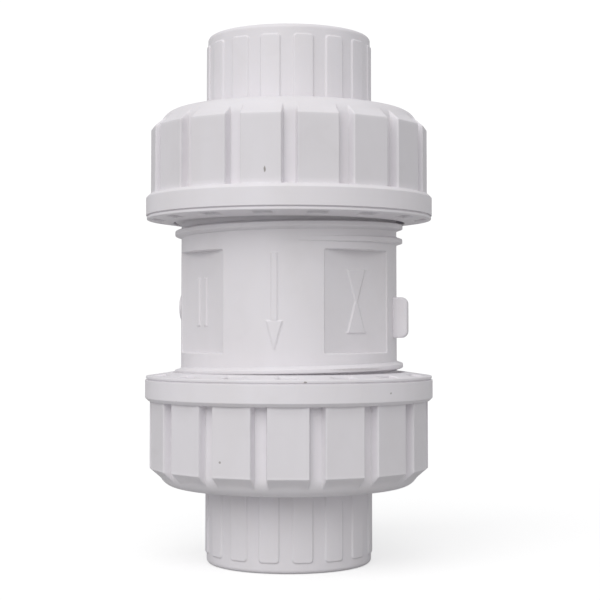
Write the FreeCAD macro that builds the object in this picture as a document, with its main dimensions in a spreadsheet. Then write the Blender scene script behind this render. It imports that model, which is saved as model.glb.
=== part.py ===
"""Double-union spring check valve for a 32 mm solvent-welded pipe line.

Millimetres, +Z up along the pipe axis, origin at the middle of the valve body.
Water runs downward, from the upper (inlet) union to the lower (outlet) union.
Every size lives in the sheet "Sizes"; sketches, primitives and placements read it by expression.
"""
import FreeCAD
import Part
import Sketcher
import os
import re

# ---------------------------------------------------------------- driving dimensions
SIZES = {
    # valve body
    "body_half_length": (36.0, "middle of the body to either end face"),
    "barrel_radius": (26.8, "outside of the barrel and root of its threads"),
    "barrel_chamfer": (1.0, "lead-in at each end of the barrel"),
    "chamber_radius": (19.6, "bore that the poppet travels in"),
    # union thread, right hand, at both ends
    "union_pitch": (3.5, "lead of the union thread"),
    "union_height": (1.55, "radial height of the ridge"),
    "union_root_width": (2.1, "axial width of the ridge at its root"),
    "union_crest_width": (1.1, "axial width of the ridge at its crest"),
    "union_clearance": (0.3, "gap left all round between the two threads"),
    "ridge_top_gap": (2.4, "plain end of the barrel above the full-height ridge"),
    "runout_angle": (95.0, "turn over which a ridge sinks into the barrel"),
    "upper_ridge_long": (22.0, "upper end face to the ridge's foot, which crosses +X"),
    "lower_ridge_long": (19.3, "lower end face to the ridge's foot, which crosses +X"),
    # flats, arrow, gate boss and parting tab moulded on the barrel
    "front_azimuth": (-98.35, "middle of the side that carries the arrow"),
    "flat_spread": (48.7, "turn from the arrow to the middle of a flat"),
    "flat_half_angle": (22.0, "half the turn that a flat takes"),
    "flat_tall": (24.4, "height of a flat"),
    "flat_step": (0.2, "step at the sides of a flat"),
    "flat_middle": (-1.3, "height of a flat's centre"),
    "relief": (0.3, "how far raised marks stand out"),
    "arrow_turn": (1.45, "turn of the arrow from the middle of its side"),
    "arrow_long": (22.7, "overall length of the flow arrow"),
    "arrow_middle": (-1.4, "height of the arrow's centre"),
    "arrow_head_long": (6.9, "length of the arrow head"),
    "arrow_head_wide": (3.8, "width of the arrow head"),
    "arrow_shaft_wide": (1.4, "width of the arrow shaft"),
    "symbol_tall": (15.0, "height of the valve symbol on the right flat"),
    "symbol_wide": (5.6, "width of the valve symbol"),
    "bar_long": (11.5, "length of the plain bars on the left flat"),
    "bar_wide": (1.3, "width of a plain bar"),
    "bar_pitch": (3.4, "distance between the two bars"),
    "tab_turn": (81.75, "turn from the middle of the front to the parting tab"),
    "tab_reach": (30.3, "distance of the parting tab's edge from the axis"),
    "tab_tall": (9.9, "height of the parting tab"),
    "tab_thick": (2.0, "thickness of the parting tab"),
    "tab_corner": (1.7, "corner radius of the parting tab"),
    "tab_middle": (-5.0, "height of the tab's centre"),
    "gate_radius": (3.4, "radius of the gate boss"),
    "gate_reach": (27.3, "distance of the gate boss's face from the axis"),
    "gate_middle": (-2.4, "height of the gate boss"),
    # union nuts
    "nut_tall": (26.9, "closed end to the edge of the lip"),
    "nut_face_drop": (1.0, "how far the open face slopes out from its edge to the thread"),
    "nut_rim_radius": (35.62, "outside of the rim"),
    "nut_rim_tall": (6.1, "height of the rim"),
    "nut_rim_chamfer": (0.8, "chamfer at the rim's pad side"),
    "nut_lip_tall": (0.6, "height of the lip beyond the rim's groove"),
    "nut_lip_drop": (0.2, "how much smaller the lip's radius is"),
    "nut_line_wide": (0.35, "width of the fine groove round the rim"),
    "nut_line_deep": (0.3, "depth of the fine groove round the rim"),
    "nut_core_radius": (32.2, "floor of the channels between the grip pads"),
    "nut_shoulder": (4.2, "rounding of the closed end"),
    "nut_plate": (5.1, "thickness of the closed end"),
    "nut_hole_gap": (0.4, "radial gap between the nut's hole and the socket"),
    "nut_thread_turns": (3.0, "turns of the nut's ridge"),
    "upper_nut_skip": (2, "body turns below the upper nut's ridge"),
    "lower_nut_skip": (1, "body turns below the lower nut's ridge"),
    "pad_count": (16, "grip pads round a nut"),
    "pad_reach": (34.1, "distance of a pad's flat from the axis"),
    "pad_half_width": (4.73, "half width of a pad's flat"),
    "pad_draft": (0.35, "how much wider each side of a pad is at its foot"),
    "pad_end_gap": (4.5, "closed end to the start of the pads' end chamfer"),
    "pad_end_slope": (50.0, "slope of that chamfer from the axis"),
    "pocket_long": (4.5, "width of a pocket in the open face"),
    "pocket_wide": (2.7, "radial size of a pocket"),
    "pocket_deep": (2.0, "depth of a pocket"),
    "pocket_ring": (32.7, "radius of the ring of pockets"),
    "upper_nut_turn": (0.7, "upper nut: turn of the first channel from the front"),
    "lower_nut_turn": (0.2, "lower nut: turn of the first pad from the front"),
    # end connectors
    "connector_long": (29.0, "overall length of a connector"),
    "flange_radius": (28.2, "outside of the clamped flange"),
    "flange_thick": (5.0, "thickness of the flange"),
    "socket_radius": (20.3, "outside of the socket between its panels"),
    "socket_round": (1.0, "rounding of the mouth's outer edge"),
    "pipe_bore": (16.1, "radius of the socket that takes the 32 mm pipe"),
    "pipe_depth": (22.0, "depth of the socket"),
    "mouth_chamfer": (0.9, "lead-in at the mouth"),
    "panel_count": (16, "raised panels round a socket"),
    "panel_rise": (0.35, "how far a panel stands out"),
    "panel_half_angle": (6.77, "half the turn that a panel takes"),
    "panel_end_gap": (2.6, "plain band between the panels and the mouth"),
    "upper_panel_turn": (-79.8, "azimuth of a panel on the upper socket"),
    "lower_panel_turn": (-80.4, "azimuth of a panel on the lower socket"),
    "through_bore": (13.0, "radius of the waterway in a connector"),
    # seals
    "face_ring_radius": (24.1, "mean radius of the face O-rings"),
    "ring_section": (2.3, "thickness of the O-rings once squeezed"),
    "groove_side": (0.3, "room beside an O-ring in its groove"),
    "seat_gap": (0.05, "gap between faces that meet"),
    # seat carrier
    "carrier_radius": (21.9, "outside of the seat carrier"),
    "carrier_thick": (10.0, "height of the seat carrier"),
    "carrier_fit": (0.1, "radial gap between the carrier and the body"),
    "throat_radius": (12.5, "waterway through the seat"),
    "lip_radius": (13.6, "inside of the seat lip"),
    "lip_wide": (1.0, "width of the seat lip"),
    "lip_tall": (1.5, "how far the seat lip stands down"),
    # poppet
    "disc_radius": (16.0, "outside of the poppet disc"),
    "disc_thick": (3.2, "thickness of the poppet disc"),
    "seal_thick": (2.4, "thickness of the flat seal"),
    "washer_radius": (10.6, "outside of the clamping washer"),
    "washer_thick": (1.5, "thickness of the clamping washer"),
    "stem_radius": (3.0, "radius of the stem"),
    "collar_radius": (4.6, "radius of the stem's collar"),
    "collar_thick": (1.6, "thickness of the stem's collar"),
    "stem_long": (46.0, "overall length of the stem"),
    "lift": (9.0, "travel of the poppet from shut to its stop"),
    "lock_washer_thick": (1.0, "thickness of the spring washer under the lock nut"),
    "lock_washer_radius": (4.9, "outside of the spring washer under the lock nut"),
    "hex_flats": (10.0, "width across the flats of the lock nut"),
    "hex_tall": (4.6, "height of the lock nut"),
    "stem_fit": (0.03, "radial gap of the clamped pieces on the stem"),
    "slide_fit": (0.08, "running gap between the stem and its bush"),
    # stem guide at the outlet
    "guide_bore": (21.0, "counterbore that takes the stem guide"),
    "guide_fit": (0.1, "radial gap between the guide and the body"),
    "guide_depth": (14.0, "lower end face to the shelf that the guide rests on"),
    "guide_ring_thick": (8.0, "height of the guide's outer ring"),
    "guide_ring_wall": (2.2, "wall of the guide's outer ring"),
    "guide_rib_thick": (2.0, "thickness of a guide rib"),
    "guide_rib_count": (4, "ribs between the hub and the ring"),
    "hub_radius": (6.4, "outside of the guide's tube, inside the spring"),
    "hub_foot_radius": (9.4, "outside of the guide's hub, where the spring stands"),
    "hub_foot_rise": (3.0, "how far the spring's seat stands above the ribs"),
    "bush_long": (16.0, "length of the guide bush below its head"),
    "bush_wall": (1.2, "wall of the guide bush"),
    "bush_head_wide": (0.9, "how far the bush's head stands out"),
    "bush_head_thick": (0.8, "thickness of the bush's head"),
    "circlip_wire": (1.5, "axial thickness of the retaining ring"),
    "circlip_bite": (1.0, "depth of the retaining ring's groove"),
    "circlip_wide": (2.6, "radial width of the retaining ring"),
    "circlip_gap": (30.0, "turn left open in the retaining ring"),
    "eyelet_radius": (2.0, "radius of the retaining ring's eyelets"),
    "eyelet_hole": (0.9, "radius of the holes in the eyelets"),
    "eyelet_turn": (5.0, "turn from the gap's end to the middle of an eyelet"),
    # closing spring
    "spring_radius": (7.6, "mean radius of the spring"),
    "spring_wire": (1.1, "wire diameter"),
    "spring_coils": (7.0, "coils of the spring"),
    "spring_washer_thick": (0.8, "thickness of the washer under the spring"),
    "spring_side_gap": (0.3, "radial gap between the spring and what centres it"),
    "spigot_tall": (2.0, "height of the spigot under the disc"),
}

doc = FreeCAD.newDocument("CheckValve")
sheet = doc.addObject("Spreadsheet::Sheet", "Sizes")
for row, (name, (value, note)) in enumerate(SIZES.items(), start=1):
    sheet.set(f"A{row}", name)
    sheet.set(f"B{row}", str(value))
    sheet.set(f"C{row}", note)
    sheet.setAlias(f"B{row}", name)
doc.recompute()

WORDS = re.compile(r"\b(" + "|".join(sorted(SIZES, key=len, reverse=True)) + r")\b")
X_AXIS = FreeCAD.Vector(1, 0, 0)
Z_AXIS = FreeCAD.Vector(0, 0, 1)
ORIGIN = FreeCAD.Vector(0, 0, 0)


def rule(text):
    """Turn a formula written with size names into an expression on the sheet."""
    return WORDS.sub(r"Sizes.\1", str(text))


def size(text):
    """Value of a formula, for the few shapes that plain Part functions make."""
    value = sheet.evalExpression(rule(text))
    return float(getattr(value, "Value", value))


def bind(thing, path, text):
    thing.setExpression(path, rule(text))


# ---------------------------------------------------------------- sketch and feature helpers
def outline(sketch, corners):
    """Closed polygon whose corners are pairs of formulas."""
    points = [FreeCAD.Vector(size(a), size(b), 0) for a, b in corners]
    count = len(points)
    for i, point in enumerate(points):
        sketch.addGeometry(Part.LineSegment(point, points[(i + 1) % count]))
    for i in range(count):
        sketch.addConstraint(Sketcher.Constraint("Coincident", i, 2, (i + 1) % count, 1))
    for i, (across, up) in enumerate(corners):
        for kind, text in (("DistanceX", across), ("DistanceY", up)):
            number = sketch.addConstraint(Sketcher.Constraint(kind, -1, 1, i, 1, size(text)))
            bind(sketch, f"Constraints[{number}]", text)
    return sketch


def free_sketch(name, corners, turn=None, place=ORIGIN):
    """Sketch that stands by itself in the document, upright in the XZ plane unless turned."""
    sketch = doc.addObject("Sketcher::SketchObject", name)
    sketch.Placement = FreeCAD.Placement(place, turn or FreeCAD.Rotation(X_AXIS, 90))
    return outline(sketch, corners)


def body_sketch(body, name, plane, corners):
    sketch = body.newObject("Sketcher::SketchObject", name)
    origin_plane = [f for f in body.Origin.OriginFeatures if f.Role == plane][0]
    sketch.AttachmentSupport = [(origin_plane, "")]
    sketch.MapMode = "FlatFace"
    return outline(sketch, corners)


def feature(body, kind, name, sketch):
    made = body.newObject("PartDesign::" + kind, name)
    made.Profile = sketch
    sketch.Visibility = False
    return made


def turned(body, name, corners, cut=False):
    """Ring of a profile given as (radius, height) formulas."""
    sketch = body_sketch(body, name + "Profile", "XZ_Plane", corners)
    made = feature(body, "Groove" if cut else "Revolution", name, sketch)
    made.ReferenceAxis = (sketch, ["V_Axis"])
    made.Angle = 360
    doc.recompute()
    return made


def raised(body, name, corners, base, height, cut=False):
    """Prism of a plan outline that stands on the height `base`."""
    sketch = body_sketch(body, name + "Plan", "XY_Plane", corners)
    bind(sketch, "AttachmentOffset.Base.z", base)
    made = feature(body, "Pocket" if cut else "Pad", name, sketch)
    made.Type = "Length"
    made.Reversed = cut
    bind(made, "Length", height)
    doc.recompute()
    return made


def round_pattern(body, name, features, count):
    made = body.newObject("PartDesign::PolarPattern", name)
    made.Originals = features
    axis = [f for f in body.Origin.OriginFeatures if f.Role == "Z_Axis"][0]
    made.Axis = (axis, [""])
    made.Angle = 360
    bind(made, "Occurrences", count)
    body.Tip = made
    doc.recompute()
    return made


def softened(body, name, base, choose, radius):
    """Fillet the edges of `base` that `choose` accepts."""
    edges = [f"Edge{i}" for i, edge in enumerate(base.Shape.Edges, start=1) if choose(edge)]
    made = body.newObject("PartDesign::Fillet", name)
    made.Base = (base, edges)
    bind(made, "Radius", radius)
    doc.recompute()
    return made


def on_ring(radius, height):
    """Test for a circular edge about the Z axis with this radius and height."""
    wanted_radius, wanted_height = size(radius), size(height)

    def test(edge):
        curve = edge.Curve
        return (isinstance(curve, Part.Circle)
                and abs(curve.Radius - wanted_radius) < 0.01
                and abs(curve.Center.z - wanted_height) < 0.01
                and abs(curve.Axis.z) > 0.99)

    return test


def new_body(name):
    body = doc.addObject("PartDesign::Body", name)
    body.Label = name
    return body


def combined(kind, name, base, *tools):
    """Fuse or cut any number of shapes."""
    if kind == "Cut" and len(tools) > 1:
        tools = (combined("MultiFuse", name + "Tools", *tools),)
    if kind == "MultiFuse":
        made = doc.addObject("Part::MultiFuse", name)
        made.Shapes = [base, *tools]
    else:
        made = doc.addObject("Part::" + kind, name)
        made.Base = base
        made.Tool = tools[0]
    made.Label = name
    doc.recompute()
    return made


def prism(name, sketch, length):
    made = doc.addObject("Part::Extrusion", name)
    made.Base = sketch
    made.DirMode = "Normal"
    made.Solid = True
    bind(made, "LengthFwd", length)
    doc.recompute()
    return made


def cylinder(name, radius, base, height):
    made = doc.addObject("Part::Cylinder", name)
    bind(made, "Radius", radius)
    bind(made, "Height", height)
    bind(made, "Placement.Base.z", base)
    doc.recompute()
    return made


def torus(name, ring_radius, section, middle):
    made = doc.addObject("Part::Torus", name)
    made.Label = name
    bind(made, "Radius1", ring_radius)
    bind(made, "Radius2", section)
    bind(made, "Placement.Base.z", middle)
    return made


def helical_ridge(name, profile, turns):
    """Sweep a (radius, height) profile up a right-hand helix that starts on +X at height 0."""
    sketch = free_sketch(name + "Profile", profile)
    helix = doc.addObject("Part::Helix", name + "Helix")
    bind(helix, "Pitch", "union_pitch")
    bind(helix, "Height", f"union_pitch * ({turns})")
    bind(helix, "Radius", "barrel_radius")
    doc.recompute()
    sweep = doc.addObject("Part::Sweep", name)
    sweep.Sections = [sketch]
    sweep.Spine = (helix, [f"Edge{i + 1}" for i in range(len(helix.Shape.Edges))])
    sweep.Solid = True
    sweep.Frenet = True
    doc.recompute()
    return sweep


def runout(name, profile, turns, direction):
    """End of a ridge: over the run-out angle it sinks until its crest is inside the barrel."""
    steps = 8
    depth = size("union_height") + 0.15
    wires = []
    for step in range(steps + 1):
        share = step / steps
        angle = direction * share * size("runout_angle")
        sink = depth * share
        lift = size("union_pitch") * angle / 360
        points = [FreeCAD.Vector(size(a) - sink, 0, size(b) + lift) for a, b in profile]
        wire = Part.makePolygon(points + points[:1])
        wire.rotate(ORIGIN, Z_AXIS, angle)
        wires.append(wire)
    made = doc.addObject("Part::Feature", name)
    made.Shape = Part.makeLoft(wires, True, False)
    if direction > 0:
        made.Placement = FreeCAD.Placement(
            FreeCAD.Vector(0, 0, size(f"union_pitch * ({turns})")),
            FreeCAD.Rotation(Z_AXIS, 360 * size(turns)))
    return made


def ridge_profile(root, crest, root_half, crest_half, bite):
    """Four corners of a ridge; its flanks run on into the wall as far as `bite`."""
    flare = f"({root_half} - {crest_half}) * ({bite}) / union_height"
    foot = f"{root} - ({bite})" if size(crest) > size(root) else f"{root} + ({bite})"
    return [(foot, f"-({root_half} + {flare})"), (crest, f"-{crest_half}"),
            (crest, crest_half), (foot, f"{root_half} + {flare}")]


MALE_RIDGE = ridge_profile(
    "barrel_radius", "barrel_radius + union_height",
    "(union_root_width / 2)", "(union_crest_width / 2)", "0.4")
NUT_ROOT = "barrel_radius + union_height + union_clearance"
FEMALE_RIDGE = ridge_profile(
    NUT_ROOT, "barrel_radius + union_clearance",
    "((union_pitch - union_crest_width) / 2 - union_clearance)",
    "((union_pitch - union_root_width) / 2 - union_clearance)", "0.4")

# ---------------------------------------------------------------- heights shared by several pieces
FACE = "(body_half_length + seat_gap)"                        # joint face of a connector
FLANGE_TOP = "(" + FACE + " + flange_thick)"
NUT_SEAT = "(" + FLANGE_TOP + " + seat_gap)"                  # inside of a nut's closed end
NUT_TOP = "(" + NUT_SEAT + " + nut_plate)"
NUT_OPEN = "(" + NUT_TOP + " - nut_tall)"
MOUTH = "(" + FACE + " + connector_long)"
HOLE = "(socket_radius + panel_rise + nut_hole_gap)"
CARRIER_BORE = "(carrier_radius + carrier_fit)"
CARRIER_FOOT = "(body_half_length - carrier_thick)"
SEAL_TOP = "(" + CARRIER_FOOT + " - lip_tall - seat_gap)"
DISC_TOP = "(" + SEAL_TOP + " - seal_thick)"
DISC_FOOT = "(" + DISC_TOP + " - disc_thick)"
COLLAR_TOP = "(" + DISC_FOOT + " - spigot_tall)"
COLLAR_FOOT = "(" + COLLAR_TOP + " - collar_thick)"
WASHER_TOP = "(" + SEAL_TOP + " + washer_thick)"
HEX_FOOT = "(" + WASHER_TOP + " + lock_washer_thick)"
HEX_TOP = "(" + HEX_FOOT + " + hex_tall)"
STEM_TOP = "(" + HEX_TOP + " + 1.2)"
STEM_HOLE = "(stem_radius + stem_fit)"
GUIDE_SHELF = "(-body_half_length + guide_depth)"
GUIDE_FOOT = "(" + GUIDE_SHELF + " - guide_ring_thick)"
HUB_SEAT = "(" + GUIDE_SHELF + " + hub_foot_rise)"
SPRING_SEAT = "(" + HUB_SEAT + " + spring_washer_thick)"
BUSH_TOP = "(" + COLLAR_FOOT + " - lift)"
TUBE_TOP = "(" + BUSH_TOP + " - bush_head_thick)"
BUSH_RADIUS = "(stem_radius + slide_fit + bush_wall)"
CIRCLIP_RADIUS = "(guide_bore + circlip_bite)"
FRONT_TURN = "(front_azimuth + 90)"


# ---------------------------------------------------------------- valve body
def barrel():
    """Turned barrel with its stepped bore; the arrow side faces -Y before the barrel is turned."""
    body = new_body("barrel")
    turned(body, "BarrelWall", [
        ("chamber_radius", CARRIER_FOOT),
        (CARRIER_BORE, CARRIER_FOOT),
        (CARRIER_BORE, "body_half_length"),
        ("barrel_radius - barrel_chamfer", "body_half_length"),
        ("barrel_radius", "body_half_length - barrel_chamfer"),
        ("barrel_radius", "barrel_chamfer - body_half_length"),
        ("barrel_radius - barrel_chamfer", "-body_half_length"),
        ("guide_bore", "-body_half_length"),
        ("guide_bore", GUIDE_SHELF),
        ("chamber_radius", GUIDE_SHELF),
    ])
    turned(body, "CirclipGroove", [
        ("guide_bore - 0.5", GUIDE_FOOT),
        (CIRCLIP_RADIUS, GUIDE_FOOT),
        (CIRCLIP_RADIUS, GUIDE_FOOT + " - circlip_wire - 2 * seat_gap"),
        ("guide_bore - 0.5", GUIDE_FOOT + " - circlip_wire - 2 * seat_gap"),
    ], cut=True)
    body.Placement = FreeCAD.Placement(ORIGIN, FreeCAD.Rotation(Z_AXIS, size(FRONT_TURN)))
    return body


def flat_block(name, azimuth):
    """Block that cuts one flat; its inner face stands at the chord of the flat's sides."""
    block = doc.addObject("Part::Box", name)
    bind(block, "Length", "barrel_radius")
    bind(block, "Width", "2 * barrel_radius * sin(flat_half_angle)")
    bind(block, "Height", "flat_tall")
    reach = size("barrel_radius * cos(flat_half_angle) - flat_step")
    side = size("barrel_radius * sin(flat_half_angle)")
    foot = size("flat_middle - flat_tall / 2")
    spin = FreeCAD.Placement(ORIGIN, FreeCAD.Rotation(Z_AXIS, azimuth))
    block.Placement = spin * FreeCAD.Placement(FreeCAD.Vector(reach, -side, foot), FreeCAD.Rotation())
    return block


def facing(azimuth, middle, reach="0"):
    """Placement of an upright sketch that looks outward at an azimuth: x to its right, y up."""
    upright = FreeCAD.Rotation(Z_AXIS, azimuth + 90) * FreeCAD.Rotation(X_AXIS, 90)
    out = FreeCAD.Rotation(Z_AXIS, azimuth).multVec(FreeCAD.Vector(size(reach), 0, 0))
    return FreeCAD.Placement(out + FreeCAD.Vector(0, 0, size(middle)), upright)


def mark(name, corners, place, length):
    sketch = doc.addObject("Sketcher::SketchObject", name + "Outline")
    outline(sketch, corners)
    sketch.Placement = place
    return prism(name, sketch, length)


def rectangle(width, height, middle=("0", "0")):
    across, up = middle
    return [(f"{across} - ({width}) / 2", f"{up} - ({height}) / 2"),
            (f"{across} + ({width}) / 2", f"{up} - ({height}) / 2"),
            (f"{across} + ({width}) / 2", f"{up} + ({height}) / 2"),
            (f"{across} - ({width}) / 2", f"{up} + ({height}) / 2")]


def flow_arrow():
    """Raised arrow that points down the pipe, following the barrel's curve."""
    head_root = "arrow_head_long - arrow_long / 2"
    blank = mark("arrow_blank", [
        ("0", "-arrow_long / 2"),
        ("arrow_head_wide / 2", head_root),
        ("arrow_shaft_wide / 2", head_root),
        ("arrow_shaft_wide / 2", "arrow_long / 2"),
        ("-arrow_shaft_wide / 2", "arrow_long / 2"),
        ("-arrow_shaft_wide / 2", head_root),
        ("-arrow_head_wide / 2", head_root),
    ], facing(size("front_azimuth + arrow_turn"), "arrow_middle", "barrel_radius - 2"), "4")
    skin = cylinder("arrow_skin", "barrel_radius + relief", "arrow_middle - arrow_long", "2 * arrow_long")
    return combined("Common", "flow_arrow", blank, skin)


def flat_marks():
    """Plain marks on the two front flats: a valve symbol and two bars."""
    reach = "barrel_radius * cos(flat_half_angle) - flat_step - 1"
    right = size("front_azimuth + flat_spread")
    left = size("front_azimuth - flat_spread")
    symbol = mark("valve_symbol", [
        ("-symbol_wide / 2", "-symbol_tall / 2"),
        ("symbol_wide / 2", "-symbol_tall / 2"),
        ("0.35", "0"),
        ("symbol_wide / 2", "symbol_tall / 2"),
        ("-symbol_wide / 2", "symbol_tall / 2"),
        ("-0.35", "0"),
    ], facing(right, "flat_middle", reach), "1 + relief")
    bars = [
        mark(f"bar_{side}", rectangle("bar_wide", "bar_long", (f"{sign} * bar_pitch / 2", "0")),
             facing(left, "flat_middle", reach), "1 + relief")
        for side, sign in (("left", "-1"), ("right", "1"))
    ]
    return [symbol, *bars]


def parting_tab():
    """Rounded plate left at the mould's parting line."""
    body = new_body("parting_tab")
    sketch = body_sketch(body, "TabSide", "XZ_Plane", [
        ("barrel_radius - 2", "tab_middle - tab_tall / 2"),
        ("tab_reach", "tab_middle - tab_tall / 2"),
        ("tab_reach", "tab_middle + tab_tall / 2"),
        ("barrel_radius - 2", "tab_middle + tab_tall / 2"),
    ])
    plate = feature(body, "Pad", "TabPlate", sketch)
    bind(plate, "Length", "tab_thick")
    plate.Midplane = True
    doc.recompute()
    reach = size("tab_reach")

    def outer_corner(edge):
        ends = [vertex.Point for vertex in edge.Vertexes]
        return (len(ends) == 2 and all(abs(end.x - reach) < 0.01 for end in ends)
                and abs(ends[0].y - ends[1].y) > 0.5)

    softened(body, "TabCorners", plate, outer_corner, "tab_corner")
    body.Placement = FreeCAD.Placement(ORIGIN, FreeCAD.Rotation(Z_AXIS, size("front_azimuth + tab_turn")))
    return body


def gate_boss():
    """Round stub of the mould's gate, on the left side."""
    boss = doc.addObject("Part::Cylinder", "gate_boss")
    bind(boss, "Radius", "gate_radius")
    bind(boss, "Height", "gate_reach - barrel_radius + 2")
    boss.Placement = facing(size(FRONT_TURN) + 180, "gate_middle", "barrel_radius - 2")
    return boss


def body_threads():
    """Ridges at both ends; the lower one is the same kind turned end for end."""
    pieces = []
    for end, over in (("upper", 0), ("lower", 180)):
        foot = f"(body_half_length - {end}_ridge_long)"
        turns = f"({end}_ridge_long - ridge_top_gap) / union_pitch"
        ridge = helical_ridge(f"{end}_ridge", MALE_RIDGE, turns)
        lead_in = runout(f"{end}_ridge_start", MALE_RIDGE, turns, -1)
        lead_out = runout(f"{end}_ridge_end", MALE_RIDGE, turns, 1)
        lift = FreeCAD.Placement(FreeCAD.Vector(0, 0, size(foot)), FreeCAD.Rotation())
        turn_over = FreeCAD.Placement(ORIGIN, FreeCAD.Rotation(X_AXIS, over))
        for piece in (ridge, lead_in, lead_out):
            piece.Placement = turn_over * lift * piece.Placement
        pieces += [ridge, lead_in, lead_out]
    doc.recompute()
    return pieces


def valve_body():
    front = size("front_azimuth")
    spread = size("flat_spread")
    azimuths = [front - spread, front + spread, front + 180 - spread, front + 180 + spread]
    blocks = [flat_block(f"flat_block_{i}", azimuth) for i, azimuth in enumerate(azimuths)]
    plain = combined("Cut", "flatted_barrel", barrel(), *blocks)
    marks = [flow_arrow(), *flat_marks(), parting_tab(), gate_boss()]
    return combined("MultiFuse", "valve_body", plain, *marks, *body_threads())


# ---------------------------------------------------------------- union nuts
def grip_pads(name):
    """Ring of separate pads with chamfered ends, one of them on +X."""
    body = new_body(name)
    body.AllowCompound = True
    foot = f"({NUT_OPEN} + nut_rim_tall - 0.5)"
    raised(body, "GripPad", [
        ("nut_core_radius - 1", "-pad_half_width - pad_draft"),
        ("nut_core_radius - 1", "pad_half_width + pad_draft"),
        ("pad_reach", "pad_half_width"),
        ("pad_reach", "-pad_half_width"),
    ], foot, f"{NUT_TOP} - {foot}")
    round_pattern(body, "GripPads", [body.Tip], "pad_count")
    start = f"({NUT_TOP} - pad_end_gap)"
    turned(body, "PadEnds", [
        ("pad_reach", start),
        ("pad_reach + 3", start + " - 3 / tan(pad_end_slope)"),
        ("pad_reach + 3", NUT_TOP + " + 1"),
        ("nut_core_radius - 3", NUT_TOP + " + 1"),
        ("nut_core_radius - 3", start + " + (pad_reach - nut_core_radius + 3) / tan(pad_end_slope)"),
    ], cut=True)
    return body


def nut_shell(name):
    """Turned wall of a nut, mouth down, with its rim, rounded shoulder and face pockets."""
    body = new_body(name)
    line_foot = f"{NUT_OPEN} + nut_lip_tall"
    line_top = line_foot + " + nut_line_wide"
    wall = turned(body, "NutWall", [
        (NUT_ROOT, NUT_OPEN + " - nut_face_drop"),
        ("nut_rim_radius - nut_lip_drop - 0.3", NUT_OPEN),
        ("nut_rim_radius - nut_lip_drop", NUT_OPEN + " + 0.3"),
        ("nut_rim_radius - nut_lip_drop", line_foot),
        ("nut_rim_radius - nut_lip_drop - nut_line_deep", line_foot),
        ("nut_rim_radius - nut_lip_drop - nut_line_deep", line_top),
        ("nut_rim_radius", line_top),
        ("nut_rim_radius", NUT_OPEN + " + nut_rim_tall - nut_rim_chamfer"),
        ("nut_rim_radius - nut_rim_chamfer", NUT_OPEN + " + nut_rim_tall"),
        ("nut_core_radius", NUT_OPEN + " + nut_rim_tall"),
        ("nut_core_radius", NUT_TOP),
        (HOLE, NUT_TOP),
        (HOLE, NUT_SEAT),
        (NUT_ROOT, NUT_SEAT),
    ])
    softened(body, "Shoulder", wall, on_ring("nut_core_radius", NUT_TOP), "nut_shoulder")
    raised(body, "FacePocket", [
        ("pocket_ring - pocket_wide / 2", "-pocket_long / 2"),
        ("pocket_ring + pocket_wide / 2", "-pocket_long / 2"),
        ("pocket_ring + pocket_wide / 2", "pocket_long / 2"),
        ("pocket_ring - pocket_wide / 2", "pocket_long / 2"),
    ], NUT_OPEN + " - nut_face_drop", "pocket_deep + nut_face_drop", cut=True)
    round_pattern(body, "FacePockets", [body.Tip], "pad_count")
    return body


def union_nut(end, pad_turn):
    """Nut with its ridge half a pitch from the body's, at the height where the two engage."""
    ridge = helical_ridge(f"{end}_nut_ridge", FEMALE_RIDGE, "nut_thread_turns")
    foot = f"body_half_length - {end}_ridge_long + ({end}_nut_skip + 0.5) * union_pitch"
    ridge.Placement = FreeCAD.Placement(FreeCAD.Vector(0, 0, size(foot)), FreeCAD.Rotation())
    grip = combined("Fuse", f"{end}_nut_grip",
                    nut_shell(f"{end}_nut_shell"), grip_pads(f"{end}_grip_pads"))
    grip.Placement = FreeCAD.Placement(ORIGIN, FreeCAD.Rotation(Z_AXIS, size(pad_turn)))
    nut = combined("Fuse", f"{end}_union_nut", grip, ridge)
    if end == "lower":
        nut.Placement = FreeCAD.Placement(ORIGIN, FreeCAD.Rotation(X_AXIS, 180))
    return nut


# ---------------------------------------------------------------- end connectors
def end_connector(end, panel_turn):
    """Flanged socket with a raised panel on +X before it is turned."""
    body = new_body(f"{end}_end_connector")
    pipe_stop = MOUTH + " - pipe_depth"
    shell = turned(body, "ConnectorShell", [
        ("through_bore", FACE),
        ("flange_radius", FACE),
        ("flange_radius", FLANGE_TOP),
        ("socket_radius", FLANGE_TOP),
        ("socket_radius", MOUTH),
        ("pipe_bore + mouth_chamfer", MOUTH),
        ("pipe_bore", MOUTH + " - mouth_chamfer"),
        ("pipe_bore", pipe_stop),
        ("through_bore", pipe_stop),
    ])
    softened(body, "MouthEdge", shell, on_ring("socket_radius", MOUTH), "socket_round")
    groove_half = "(ring_section / 2 + groove_side)"
    turned(body, "RingGroove", [
        (f"face_ring_radius - {groove_half}", FACE + " - 0.5"),
        (f"face_ring_radius + {groove_half}", FACE + " - 0.5"),
        (f"face_ring_radius + {groove_half}", FACE + " + ring_section + 2 * seat_gap"),
        (f"face_ring_radius - {groove_half}", FACE + " + ring_section + 2 * seat_gap"),
    ], cut=True)
    sketch = body_sketch(body, "PanelProfile", "XZ_Plane", [
        ("socket_radius - 0.4", FLANGE_TOP),
        ("socket_radius + panel_rise", FLANGE_TOP),
        ("socket_radius + panel_rise", MOUTH + " - panel_end_gap"),
        ("socket_radius - 0.4", MOUTH + " - panel_end_gap"),
    ])
    panel = feature(body, "Revolution", "Panel", sketch)
    panel.ReferenceAxis = (sketch, ["V_Axis"])
    bind(panel, "Angle", "2 * panel_half_angle")
    panel.Midplane = True
    doc.recompute()
    round_pattern(body, "Panels", [panel], "panel_count")
    spin = FreeCAD.Rotation(Z_AXIS, size(panel_turn))
    if end == "lower":
        spin = FreeCAD.Rotation(X_AXIS, 180) * FreeCAD.Rotation(Z_AXIS, -size(panel_turn))
    body.Placement = FreeCAD.Placement(ORIGIN, spin)
    return body


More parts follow.
